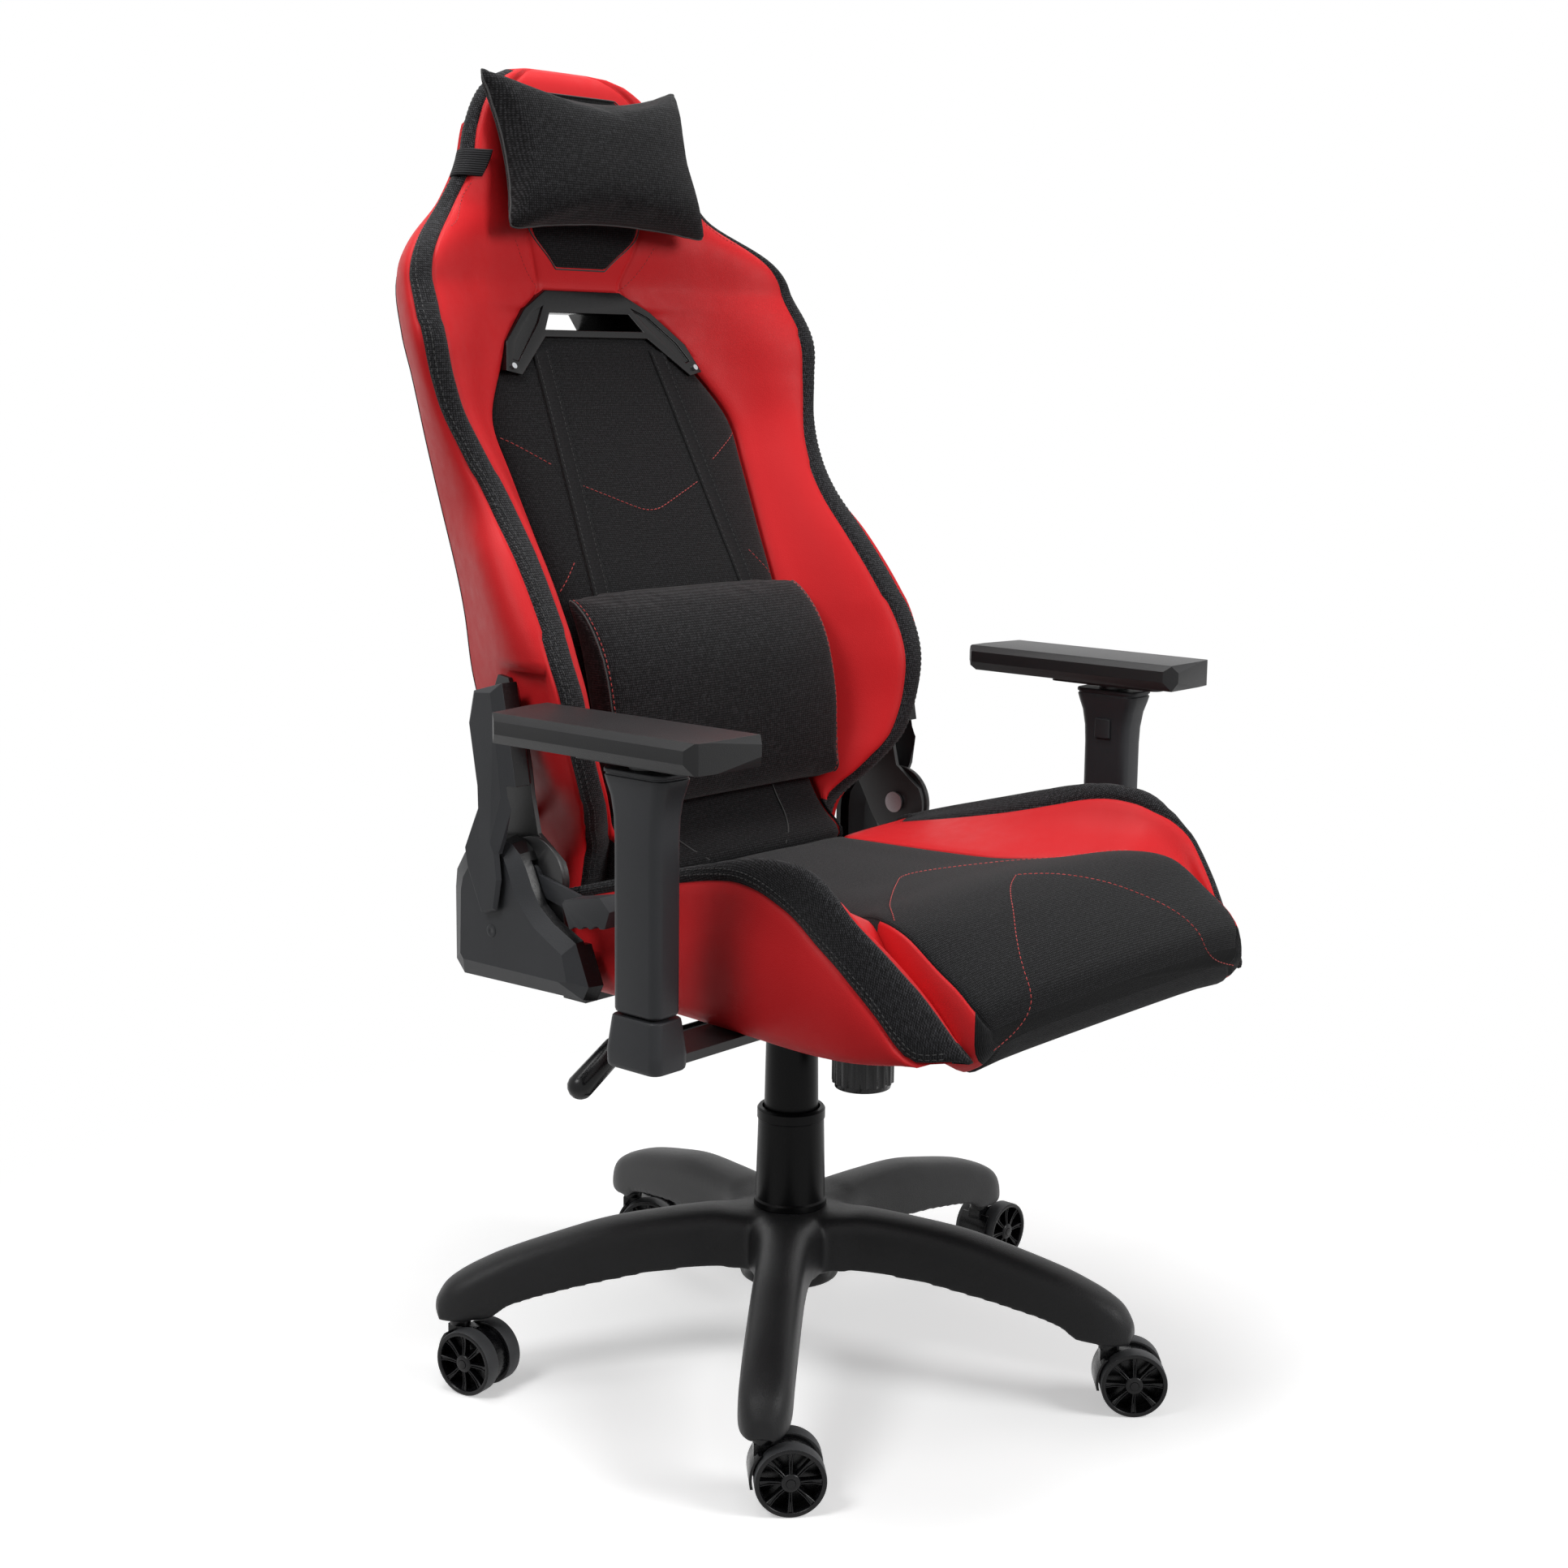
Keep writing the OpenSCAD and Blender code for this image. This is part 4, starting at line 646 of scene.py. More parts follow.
# ---------- the seat ----------
# Rows along the seat: distance behind the column, then height above the seat's base or half width
CREST_Z = [(-372, 13), (-362, 28), (-338, 62), (-313, 93), (-284, 122), (-240, 152), (-200, 157),
           (-160, 152), (-80, 131), (0, 109), (60, 90), (70, 84)]
CREST_X = [(-372, 211), (-362, 217), (-338, 228), (-313, 242), (-284, 254), (-200, 250), (-100, 244),
           (0, 242), (70, 243)]
BOLSTER_W = [(-372, 214), (-362, 225), (-350, 236), (-335, 248), (-320, 258), (-280, 271), (-200, 269),
             (-100, 262), (0, 255), (70, 254)]
TROUGH_X = [(-372, 207), (-350, 209), (-300, 209), (-262, 196), (-205, 168), (-145, 140), (-100, 134),
            (44, 126)]
TROUGH_Z = [(-372, 10), (-350, 30), (-320, 50), (-300, 64), (-280, 84), (-264, 98), (-250, 103), (-210, 96),
            (-130, 91), (44, 88)]
SEAM_X = [(-378, 190), (-375, 200), (-371, 205), (-364, 208), (-300, 208), (-262, 196), (-205, 168),
          (-145, 140), (-100, 134), (44, 126)]
SEAM_Z = [(-378, 33), (-375, 44), (-371, 52), (-357, 66), (-336, 80), (-305, 101), (-285, 107), (-262, 108),
          (-245, 106), (-210, 97), (-130, 91), (44, 88)]
CROWN_Z = [(-378, 36), (-375, 47), (-371, 56), (-357, 71), (-336, 86), (-305, 102), (-263, 110),
           (-200, 101), (-131, 92), (44, 88)]
SOLE_Z = [(-378, 22), (-375, 12), (-371, 5), (-362, -2), (-350, -6), (-330, -4), (-300, 0), (44, 0)]
SKIRT_Z = [(-372, 9), (-362, 10), (-350, 9), (-313, 5), (-280, 3), (-240, 1), (-200, 0), (44, 0)]
# The horns: height of their underside above the seat's base, and half the width between them
HORN_FOOT = 48
HORN_X = 234
# Edges of the band over the crest of a bolster, along the section from the crest
BAND_OUT = [(-372, 62), (-345, 60), (-330, 58), (-315, 53), (-282, 50), (-248, 51), (-215, 41), (-175, 27),
            (-144, 19), (-82, 14), (70, 11)]
BAND_IN = [(-372, -1), (-285, -2), (-268, -6), (-250, -13), (-225, -16), (-205, -16), (-170, -19),
           (-140, -22), (-80, -24), (70, -24)]
# The two rows of stitches beside a band, by their distance from its edge
BAND_STITCHES = (5.5, 10)
# Chevrons on the cushion in plan: an outer one that starts beside the bolsters, an inner one at the lip
CHEVRON_OUT = [(-193, -277), (-150, -237), (-100, -200), (-50, -166), (-11, -140), (40, -152), (95, -180),
               (145, -218), (188, -262)]
CHEVRON_IN = [(1, -263), (40, -283), (86, -322), (112, -345), (127, -362)]
# The inner one's way down over the nose, with heights above the seat's base
CHEVRON_NOSE = [(133, -376, 57), (136, -379, 44), (146, -379, 33), (166, -378, 23), (190, -375, 17)]


def pad_section(y):
    """Section of the seat's middle cushion at a distance behind the column."""
    x, s, c, f = (smooth(t, y) for t in (SEAM_X, SEAM_Z, CROWN_Z, SOLE_Z))
    half = [(0.2 * x, c + 2), (0.5 * x, c + 1), (0.82 * x, 0.6 * s + 0.4 * c + 2), (x, s)]
    top = [(-p[0], p[1]) for p in half[::-1]] + half
    lobe = 3.5 * ease(-335, -360, y)
    side = [(x, 0.6 * s + 0.4 * f), (x, 0.22 * s + 0.78 * f), (0.93 * x, f - lobe),
            (0.82 * x, f - 0.3 * lobe), (0.7 * x, f + 0.4 * lobe)]
    low = side + [(-p[0], p[1]) for p in side[::-1]]
    front = rounded(top)
    rest = rounded([top[-1]] + low + [top[0]])
    line = np.vstack([front, rest[1:]])
    corners = [mark(line, (turn * 0.93 * x, f - lobe)) for turn in (1, -1)]
    line = np.array([(p[0], y, SEAT_BASE + p[1]) for p in line])
    first = lengths(line)[len(front) - 1]
    return line, [0, first] + corners + [lengths(line)[-1]]


def bolster_section(y):
    """Section of a seat bolster, with the marks of its red sides and its band."""
    behind = y > SEAT_REAR
    xi = HORN_X if behind else smooth(TROUGH_X, y)
    zi = smooth(CREST_Z, y) - 4 if behind else smooth(TROUGH_Z, y)
    xc, zc, w = (smooth(t, y) for t in (CREST_X, CREST_Z, BOLSTER_W))
    f = HORN_FOOT if behind else smooth(SKIRT_Z, y)
    e, g, t = min(8, (xc - xi) / 4), min(8, (w - xc) / 3), (w - xi) / 100
    show = [(xi, zi), (0.35 * xi + 0.65 * xc, 0.64 * zi + 0.36 * zc), (xc - e, zc - 0.7 * e), (xc, zc),
            (xc + g, zc - g / 2), (0.7 * w + 0.3 * xc, 0.7 * zc + 0.3 * f), (w, 0.4 * zc + 0.6 * f),
            (w - 3 * t, f + 8 * t), (w - 14 * t, f)]
    under = [(w - 14 * t, f), (xi + 8 * t, f), (xi, 0.2 * zi + 0.8 * f), (xi, 0.6 * zi + 0.4 * f), (xi, zi)]
    front, rest = rounded(show), rounded(under)
    crest = mark(front, (xc, zc))
    end = lengths(front)[-1]
    inner = max(crest + smooth(BAND_IN, y), 0.25 * crest)
    share = 0.94 + 0.06 * ease(-330, -348, y)
    outer = min(crest + smooth(BAND_OUT, y), crest + share * (end - crest))
    line = np.vstack([front, rest[1:]])
    line = np.array([(p[0], y, SEAT_BASE + p[1]) for p in line])
    return line, [0, inner, outer, end, lengths(line)[-1]]


def build_seat():
    rows = [-378, -377, -375, -373, -371] + spaced([-368, -340, SEAT_REAR], 7)
    points, faces, indices, uv = upholstered(
        rows, pad_section, [40, 7, 12, 7], [1, 1, 0.4, 0.4, 1],
        lambda row, panel: int(panel in (1, 3) and -371 < row < -262), [3.0, 4.0, 0, 4.0], 3.0)
    cushion = piece("seat_cushion", points, faces, ["panel_weave", "red_leather"], indices, uv, "seat",
                    "black_weave")
    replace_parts(cushion, "seat_pad")
    rows = [-372, -371, -369, -366, -362] + spaced([-357, -340, -280, SEAT_REAR], 7)
    rows += [SEAT_REAR + 0.5, 50, 57, 64, 70]
    points, faces, indices, uv = both_sides(*upholstered(
        rows, bolster_section, [10, 10, 16, 8], [1, 1, 1, 0, 1],
        lambda row, panel: int(panel == 1 or row < -363), [1.0, 1.6, 3.0, 0], 2.6))
    sides = piece("seat_sides", points, faces, ["red_leather", "band_weave"], indices, uv, "seat",
                  "red_leatherette")
    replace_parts(sides, "seat_bolsters")
    runs = []
    for off in BAND_STITCHES:
        for side in SIDES:
            sections = [bolster_section(y) for y in spaced([-358, 66], 9)]
            run = [along(line, [marks[2] - off])[0] for line, marks in sections]
            runs.append([(side * x, y, z) for x, y, z in run])
    sewn("seat_band_stitches", runs, tree_of(sides), "black_thread", "seat", "red_leatherette")
    tree = tree_of(cushion)
    runs = []
    for turn, run, nose in (
            (1, CHEVRON_OUT, []), (1, CHEVRON_IN, CHEVRON_NOSE), (-1, CHEVRON_IN, CHEVRON_NOSE)):
        down = [dropped(tree, (turn * x, y, SEAT_BASE + 200), (0, 0, -1)) for x, y in run]
        runs.append(down + [(turn * x, y, SEAT_BASE + z) for x, y, z in nose])
    sewn("seat_chevrons", runs, tree, "red_thread", "seat", "black_weave")


# ---------- the back ----------
def panel_y(h):
    """Distance of the back's flat panel behind the pivot at a height above it."""
    return BACK_LEAN * h - 31


# Rows up the back: height above the pivot, then distance behind it (Y) or half width (X, W)
FRONT_Y = [(-50, 14), (-42, 4), (-35, -2), (-26, -12), (-18, -19), (-8, -16), (2, -3), (15, 9), (30, 19),
           (45, 26), (85, 43), (125, 50), (165, 58), (205, 68), (245, panel_y(245)), (285, panel_y(285)),
           (485, panel_y(485)), (535, panel_y(535))]
EDGE_X = [(-50, 150), (85, 150), (245, 155), (357, 165), (403, 166), (445, 140), (485, 105), (535, 50)]
WING_W = [(-50, 190), (5, 194), (23, 201), (45, 213), (67, 228), (85, 240), (125, 256), (165, 266),
          (205, 272), (245, 270), (285, 262), (325, 248), (365, 248), (405, 256), (445, 266), (485, 272),
          (535, 262)]
WING_X = [(-50, 151), (8, 152), (23, 162), (45, 181), (67, 198), (85, 210), (125, 225), (185, 232),
          (225, 228), (305, 218), (345, 218), (385, 227), (425, 240), (485, 248), (535, 240)]
WING_Y = [(-50, 30), (5, 20), (23, 9), (45, -10), (67, -24), (85, -31), (125, -34), (165, -31), (205, -14),
          (245, 11), (285, 40), (325, 72), (365, 98), (405, 116), (445, 125), (485, 132), (535, 156)]
RIM_X = [(-50, 184), (5, 188), (45, 203), (165, 213), (260, 215), (325, 218), (385, 225), (445, 235),
         (485, 240), (535, 235), (565, 206), (605, 165), (645, 139), (685, 125), (720, 100), (746, 60)]
RIM_Y = [(-50, 62), (0, 82), (45, 100), (105, 122), (165, 140), (220, 149), (260, 159), (325, 178),
         (385, 190), (445, 197), (485, 205), (535, 217), (605, 238), (685, 245), (746, 258)]
SPINE_Y = [(-50, 84), (0, 100), (45, 114), (105, 133), (165, 151), (220, 166), (260, 180), (325, 204),
           (385, 231), (445, 260), (485, 279), (535, 293), (585, 288), (645, 281), (685, 276), (720, 270),
           (746, 260)]
HEAD_W = [(535, 262), (565, 234), (605, 186), (645, 153), (685, 137), (720, 112), (740, 76), (746, 46)]
HEAD_Y = [(535, 156), (565, 173), (605, 204), (645, 212), (685, 220), (720, 228), (740, 238), (746, 248)]
BROW_Y = [(535, 212), (565, 207), (605, 208), (645, 212), (685, 217), (720, 223), (740, 233), (746, 245)]
NAPE_Y = [(535, 240), (605, 243), (645, 245), (685, 246), (746, 252)]
# Height above which the cover closes over the panel, and where the wings end and the head begins
BRIDGE = 512
WINGS_TOP = 535


def rest_y(h):
    """Rear face of the back's cushions."""
    if h < LOW_H:
        return panel_y(LOW_H) + PAD_T - 0.28 * (LOW_H - h)
    return min(panel_y(h) + PAD_T, 243)


def wing_half(h):
    """Right half of the cover's section below the head, and its marks."""
    tables = EDGE_X, FRONT_Y, WING_X, WING_Y, WING_W, RIM_X, RIM_Y
    xi, f, xc, yc, w, xr, yr = (smooth(table, h) for table in tables)
    rest = rest_y(h)
    web = [(0, rest + 0.2), (xi - 0.4, rest + 0.2), (xi, f + 8)] if h < BRIDGE else [(0, f), (xi, f)]
    show = [(xi, f + 8 if h < BRIDGE else f), (xi + 3, f + 2 if h < BRIDGE else f),
            (0.6 * xi + 0.4 * xc, 0.8 * f + 0.2 * yc), (0.2 * xi + 0.8 * xc, 0.2 * f + 0.8 * yc),
            (xc, yc), (0.5 * (xc + w), yc - 3), (w - 1, yc + 6), (w, 0.75 * yc + 0.25 * yr),
            (0.45 * w + 0.55 * xr, 0.35 * yc + 0.65 * yr), (xr, yr)]
    rear = [(xr, yr), (xr - STEP_IN, yr - 1), (INNER_X, rest - STEP_IN), (min(xi, INNER_X - 2), rest),
            (0, rest + 1.2)]
    line = rounded(show)
    crest = mark(line, (xc, yc))
    band = min(crest + sizes().band_width / MM, lengths(line)[-1] - 2)
    start = lengths(np.array(web))[-1]
    whole = np.vstack([np.array(web), line[1:], np.array(rear)[1:]])
    end = start + lengths(line)[-1]
    return whole, [0, start, start + crest, start + band, end, lengths(whole)[-1]]


def head_half(h):
    """Right half of the head's section, and its marks."""
    w, b, c, n = (smooth(t, h) for t in (HEAD_W, BROW_Y, HEAD_Y, NAPE_Y))
    xr, yr = min(smooth(RIM_X, h), w - 6), smooth(RIM_Y, h)
    seam = min(0.3 * w + 0.35 * max(h - WINGS_TOP, 0), 0.75 * w)
    show = [(0, b), (0.3 * w, b), (0.62 * w, 0.8 * b + 0.2 * c), (0.86 * w, 0.9 * c + 0.1 * b - 2),
            (0.96 * w, c - 1), (w, c + 8), (0.6 * w + 0.4 * xr, 0.4 * c + 0.6 * yr), (xr, yr)]
    rear = [(0.86 * xr, 0.68 * yr + 0.32 * n), (0.7 * xr, 0.34 * yr + 0.66 * n), (0.35 * xr, n), (0, n)]
    line = rounded(show)
    crest = mark(line, (0.95 * w, c))
    end = lengths(line)[-1]
    band = min(crest + sizes().band_width / MM, end - 1)
    before = line[:np.argmax(line[:, 0]), 0]
    middle = float(np.interp(seam, before, lengths(line)[:len(before)]))
    whole = np.vstack([line, rear])
    return whole, [0, middle, crest, band, end, lengths(whole)[-1]]


COVER_COUNTS = [12, 18, 9, 12, 12]
COVER_SEAMS = [0, 1, 1, 1, 0, 0]
COVER_SWELL = [0, 3.0, 1.5, 3.0, 0]
COVER_DEPTH = 2.4
# Heights between which the wings' section passes into the head's
MERGE = (505, 610)


def cover_half(h):
    """Columns of the right half of the cover at a height, with the seam's depth and panel of each."""
    parts = []
    if h < MERGE[1]:
        parts.append((wing_half(min(h, WINGS_TOP)), 1 - ease(*MERGE, h)))
    if h > MERGE[0]:
        parts.append((head_half(max(h, WINGS_TOP)), ease(*MERGE, h)))
    total = 0
    for (line, marks), share in parts:
        places, sink, puff, owner = panel_columns(marks, COVER_COUNTS, COVER_SEAMS)
        total = total + along(line, places + [marks[-1]]) * share
    return total, places, sink + [0], puff + [0], owner + [len(COVER_COUNTS) - 1]


def lifted(p, h):
    """A point of a back section in the row frame."""
    return (p[0], PIVOT.y + p[1], PIVOT.z + h)


def cover_form(rows):
    """The one-piece cover of wings and head as a closed mesh."""
    grid, push, uv = [], [], []
    for h in rows:
        half, places, sink, puff, owner = cover_half(h)
        grid.append([lifted(p, h) for p in half] + [lifted((-p[0], p[1]), h) for p in half[-2:0:-1]])
        lift = [COVER_SWELL[k] * f - COVER_DEPTH * s for s, f, k in zip(sink, puff, owner)]
        push.append(lift + lift[-2:0:-1])
        places = [*places, places[-1] + 10]
        uv += [(p, h) for p in places] + [(-p, h) for p in places[-2:0:-1]]
    grid = swollen(grid, push)
    # The recliner's links pass beside the cover, which is flat there
    behind, high = grid[:, :, 1] - PIVOT.y, grid[:, :, 2] - PIVOT.z
    edge = 34 * np.clip((high - 20) / 166, 0, 1) - 40
    beside = (behind > edge) & (behind < 99) & (high < 190)
    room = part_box("recliner_arms")[1].x / MM - 5.6
    grid[:, :, 0] = np.where(beside, np.clip(grid[:, :, 0], -room, room), grid[:, :, 0])
    count = grid.shape[1]
    owners = owner + owner[-2:0:-1]
    panels = [owners[j] if j < count // 2 else owners[(j + 1) % count] for j in range(count)]
    indices = [int(k == 2 and h < 736 or k == 1 and h < 12) for h in rows[:-1] for k in panels] + [0, 0]
    return grid.reshape(-1, 3), quads(len(rows), count) + caps(len(rows), count), indices, uv


def back_section(h):
    """Section of the back's middle cushion."""
    x, f, r = smooth(EDGE_X, h), smooth(FRONT_Y, h), rest_y(h)
    half = [(0.5 * x, f), (0.94 * x, f + 1), (x, f + 8)]
    top = [(-p[0], p[1]) for p in half[::-1]] + [(0, f)] + half
    front = rounded(top)
    line = np.vstack([front, [(x, r), (0, r), (-x, r), (-x, f + 8)]])
    line = np.array([lifted(p, h) for p in line])
    return line, [0, lengths(line)[len(front) - 1], lengths(line)[-1]]


SHELL_HALF = [(1, 0), (0.93, 0.17), (0.84, 0.4), (0.7, 0.68), (0.5, 0.9), (0, 1)]


def shell_section(h):
    """Section of the rear shell: the outer face, then the inner one."""
    xr, yr, s = smooth(RIM_X, h) - 0.5, smooth(RIM_Y, h), smooth(SPINE_Y, h)
    half = [(xr * a, yr + 2 + (s - yr) * b) for a, b in SHELL_HALF]
    outer = rounded(half + [(-p[0], p[1]) for p in half[-2::-1]])
    inner = outer[::-1] * (1 - 7 / xr, 1) + (0, -1)
    inner[:, 1] = np.where(np.abs(outer[::-1][:, 0]) > xr - 3, yr + 1.6, inner[:, 1] - 2.5)
    line = np.vstack([outer, inner])
    line = np.array([lifted(p, h) for p in line])
    s = lengths(line)
    end = s[len(outer) - 1]
    side = mark(outer, (0.62 * xr, yr + 2 + (smooth(SPINE_Y, h) - yr) * 0.78))
    return line, [0, side, end - side, end, s[-1]]


# Outlines of the handle's bezel in the front view: half width, height above the pivot
BEZEL_SIDE = [(70, 485), (118, 447), (137, 451), (125, 479), (88, 511), (52, 530)]
SLEEVE_SIDE = [(76, 484), (76, 494), (59, 515)]


def clear_of_bezel(thing, folded=False):
    """Takes the volume of the bezel and its sleeve out of the upholstery."""
    for name, side, near, far in (
            ("bezel_room", BEZEL_SIDE, lambda p: lifted((p[0], panel_y(p[1]) - 30), p[1]),
             lambda p: lifted((p[0], panel_y(p[1]) + 4.4), p[1])),
            ("sleeve_room", SLEEVE_SIDE, lambda p: lifted((p[0], panel_y(500) - 30), p[1]),
             lambda p: lifted((p[0], 400), p[1]))):
        outline = side + [(-x, h) for x, h in side[::-1]]
        cut(thing, piece(name, *slab(outline, near, far), ["black_leather"]), folded)


def build_back():
    rows = spaced([-50, BRIDGE - 1], 6.5) + spaced([BRIDGE + 1, 735, 742, 746], 5)
    points, faces, indices, uv = cover_form(rows)
    cover = piece("back_cover", points, faces, ["red_leather", "band_weave"], indices, uv)
    clear_of_bezel(cover, True)
    placed(cover, "back")
    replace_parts(cover, "back_wings", "head_section")
    points, faces, indices, uv = upholstered(
        spaced([-50, 485], 7), back_section, [40, 10], [1, 1, 1], lambda row, panel: 0, [2.0, 0], 1.5)
    cushion = piece("back_cushion", points, faces, ["panel_weave"], indices, uv)
    clear_of_bezel(cushion)
    placed(cushion, "back")
    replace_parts(cushion, "back_pad")
    points, faces, indices, uv = upholstered(
        spaced([-38, 728], 8), shell_section, [8, 24, 8, 24], [0, 1, 1, 0, 0], lambda row, panel: 0,
        [2.0, 2.0, 2.0, 0], 2.0)
    shell = piece("rear_shell", points, faces, ["black_leather"], indices, uv)
    clear_of_bezel(shell)
    placed(shell, "back")
    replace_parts(shell, "back_shell")
    sew_back(cover, cushion)
    build_back_straps(cushion)
    build_inlay(cover)


# Stitches on the back's panel and the seams at the hips, as (half width, height above the floor)
VEE = [(-84, 857), (-40, 841), (0, 827), (40, 841), (84, 857)]
UPPER_STITCHES = [(164, 903), (150, 896), (112, 876)]
LOWER_STITCHES = [(150, 760), (138, 772), (120, 790)]
HIP_SEAM = [(82, 640), (82, 600), (82, 570), (82, 545), (82, 525), (70, 512), (56, 502)]


def sew_back(cover, cushion):
    runs = []
    for off in BAND_STITCHES:
        for side in SIDES:
            run = []
            for h in spaced([-20, 725], 8):
                half, *_, owner = cover_half(h)
                edge = owner.index(3)
                p, q = half[edge], half[edge - 4]
                p = p + (q - p) / max(np.linalg.norm(q - p), 1e-6) * off
                run.append(lifted((side * p[0], p[1]), h))
            runs.append(run)
    sewn("back_band_stitches", runs, tree_of(cover), "black_thread", "back", "red_leatherette")
    tree = tree_of(cushion)

    def on_panel(outline, side=1):
        places = [((side * x, panel_y(z - PIVOT.z) - 80), z - PIVOT.z) for x, z in outline]
        hits = [dropped(tree, lifted(*place), (0, 1, 0)) for place in places]
        return [p for p in hits if p is not None]

    runs = [on_panel(VEE)]
    for side, word in zip(SIDES, ("right", "left")):
        runs += [on_panel(UPPER_STITCHES, side), on_panel(LOWER_STITCHES, side)]
        cording(f"hip_seam_{word}", rounded(on_panel(HIP_SEAM, side), 2), 0.9, "back", "black_weave")
    sewn("back_stitches", runs, tree, "red_thread", "back", "black_weave")


# ---------- cushions and straps on the back ----------
def puffed(thing, cap, behind, voxel=5.0):
    """Blows up a cushion's cloth. No point moves further than the cap, or than behind towards the back."""
    remesh = thing.modifiers.new("even", "REMESH")
    remesh.mode = "VOXEL"
    remesh.voxel_size = voxel * MM
    smoothing = thing.modifiers.new("smooth", "SMOOTH")
    smoothing.iterations = 3
    applied(thing)
    rest = np.empty(3 * len(thing.data.vertices))
    thing.data.vertices.foreach_get("co", rest)
    cloth = thing.modifiers.new("cloth", "CLOTH")
    cloth.settings.quality = 6
    cloth.settings.use_pressure = True
    cloth.settings.uniform_pressure_force = 4
    cloth.settings.effector_weights.gravity = 0
    scene = bpy.context.scene
    for time in range(1, 21):
        scene.frame_set(time)
    applied(thing)
    scene.frame_set(1)
    grown = np.empty(len(rest))
    thing.data.vertices.foreach_get("co", grown)
    move = (grown - rest).reshape(-1, 3)
    size = np.linalg.norm(move, axis=1, keepdims=True)
    move *= np.minimum(1, cap * MM / np.maximum(size, 1e-9))
    move[:, 1] = np.minimum(move[:, 1], behind * MM)
    thing.data.vertices.foreach_set("co", rest + move.ravel())
    fine = thing.modifiers.new("fine", "SUBSURF")
    fine.levels = 1
    applied(thing)
    thing.data.shade_smooth()


# The head pillow's middle behind and above the pivot, its lean in degrees, half its width and height
# across the corners, and its swell in front and behind
PILLOW_Y = 192.1
PILLOW_H = 660
PILLOW_LEAN = 16
PILLOW_HALF = (144, 87)
PILLOW_SWELL = {-1: 30, 1: 24}


def pillow_point(u, v, side):
    """A point of the head pillow: u across and v up run from -1 to 1, side is -1 in front and 1 behind."""
    corner = (u * v) ** 6
    wide = PILLOW_HALF[0] * (1 - 0.12 * (1 - v * v)) * (1 - 0.05 * corner)
    high = PILLOW_HALF[1] * (1 - (0.32 if v > 0 else 0.15) * (1 - u * u)) * (1 - 0.07 * corner)
    thick = ((1 - abs(u) ** 3) * (1 - abs(v) ** 3)) ** 0.55 * PILLOW_SWELL[side] + 1.2
    lean = Matrix.Rotation(math.radians(90 - PILLOW_LEAN), 3, "X")
    return lean @ Vector((u * wide, v * high, -side * thick)) + Vector(lifted((0, PILLOW_Y), PILLOW_H))


def build_pillow():
    count = 40
    half = count * count
    stops = [math.sin(math.pi / 2 * k) for k in np.linspace(-1, 1, count)]
    points = [pillow_point(u, v, side) for side in SIDES for v in stops for u in stops]
    rim = [*range(count), *range(2 * count - 1, half, count), *range(half - 2, half - count - 1, -1),
           *range(half - 2 * count, 0, -count)]
    faces = quads(count, count, False) + quads(count, count, False, start=half)
    faces += [[a, b, b + half, a + half] for a, b in zip(rim, rim[1:] + rim[:1])]
    pillow = piece("head_cushion", points, faces, ["cushion_weave"])
    puffed(pillow, 5, 0.6, 4.5)
    placed(pillow, "pillow")
    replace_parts(pillow, "head_pillow")
    tree = tree_of(pillow)
    across, up = np.linspace(-1, 1, 40), np.linspace(-1, 1, 26)
    ring = [(u, -1) for u in across] + [(1, v) for v in up[1:]]
    ring += [(u, 1) for u in across[-2::-1]] + [(-1, v) for v in up[-2:0:-1]]
    seam = [tree.find_nearest((pillow_point(u, v, -1) + pillow_point(u, v, 1)) / 2)[0] for u, v in ring]
    cording("head_cushion_seam", rounded(seam, 1, True), 1.1, "pillow", "black_weave", closed=True)
    build_elastic()


# The elastic's lower edge above the pivot, and the levels of its section above that
STRAP_LOW = 634
STRAP_LEVELS = (0, 3, 9, 17, 23, 26)


def elastic_path(h):
    """The pillow strap's way round the head at a height."""
    w, xr, yr, s = smooth(HEAD_W, h), smooth(RIM_X, h), smooth(RIM_Y, h) + 2, smooth(SPINE_Y, h) + 2
    path = [(w - 24, PILLOW_Y + 14), (w, smooth(HEAD_Y, h) - 2), (w, smooth(HEAD_Y, h) + 10), (xr, yr)]
    path += [(xr * a, yr + b * (s - yr)) for a, b in SHELL_HALF[1:]]
    return rounded(path + [(-x, y) for x, y in path[-2::-1]])


def build_elastic():
    """The elastic that holds the pillow to the head: ribbed webbing with rounded selvedges."""
    middle = np.array((0, 225))
    clear = 1.3
    rings = []
    for places in zip(*(elastic_path(STRAP_LOW + level) for level in STRAP_LEVELS)):
        near, far = [], []
        for level, place in zip(STRAP_LEVELS, places):
            out = (place - middle) / np.linalg.norm(place - middle)
            thick = 1.7 if 0 < level < STRAP_LEVELS[-1] else 1.2
            near.append(lifted(place + out * clear, STRAP_LOW + level))
            far.append(lifted(place + out * (clear + thick), STRAP_LOW + level))
        rings.append(near + far[::-1])
    uv = [(a, 6 * k) for k in range(len(rings)) for a in STRAP_LEVELS + STRAP_LEVELS[::-1]]
    band = skin("pillow_elastic", rings, "elastic", "pillow", "black_webbing", uv)
    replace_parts(band, "head_strap")


# The lumbar cushion's face (behind and above the pivot), and the depth and the setback of its section at
# shares of its half width
LUMBAR_FACE = [(18, 37), (6, 38), (-1, 50), (-5, 80), (-5, 120), (3, 165), (13, 192), (26, 212), (42, 229),
               (58, 240), (72, 246)]
LUMBAR_DEPTH = [(0, 1), (0.5, 0.98), (0.8, 0.85), (0.94, 0.66), (0.985, 0.5), (1, 0.4)]
LUMBAR_OFF = [(0, 0), (0.5, 0), (0.8, 3), (0.94, 9), (0.985, 13), (1, 16)]
LUMBAR_HALF = 167


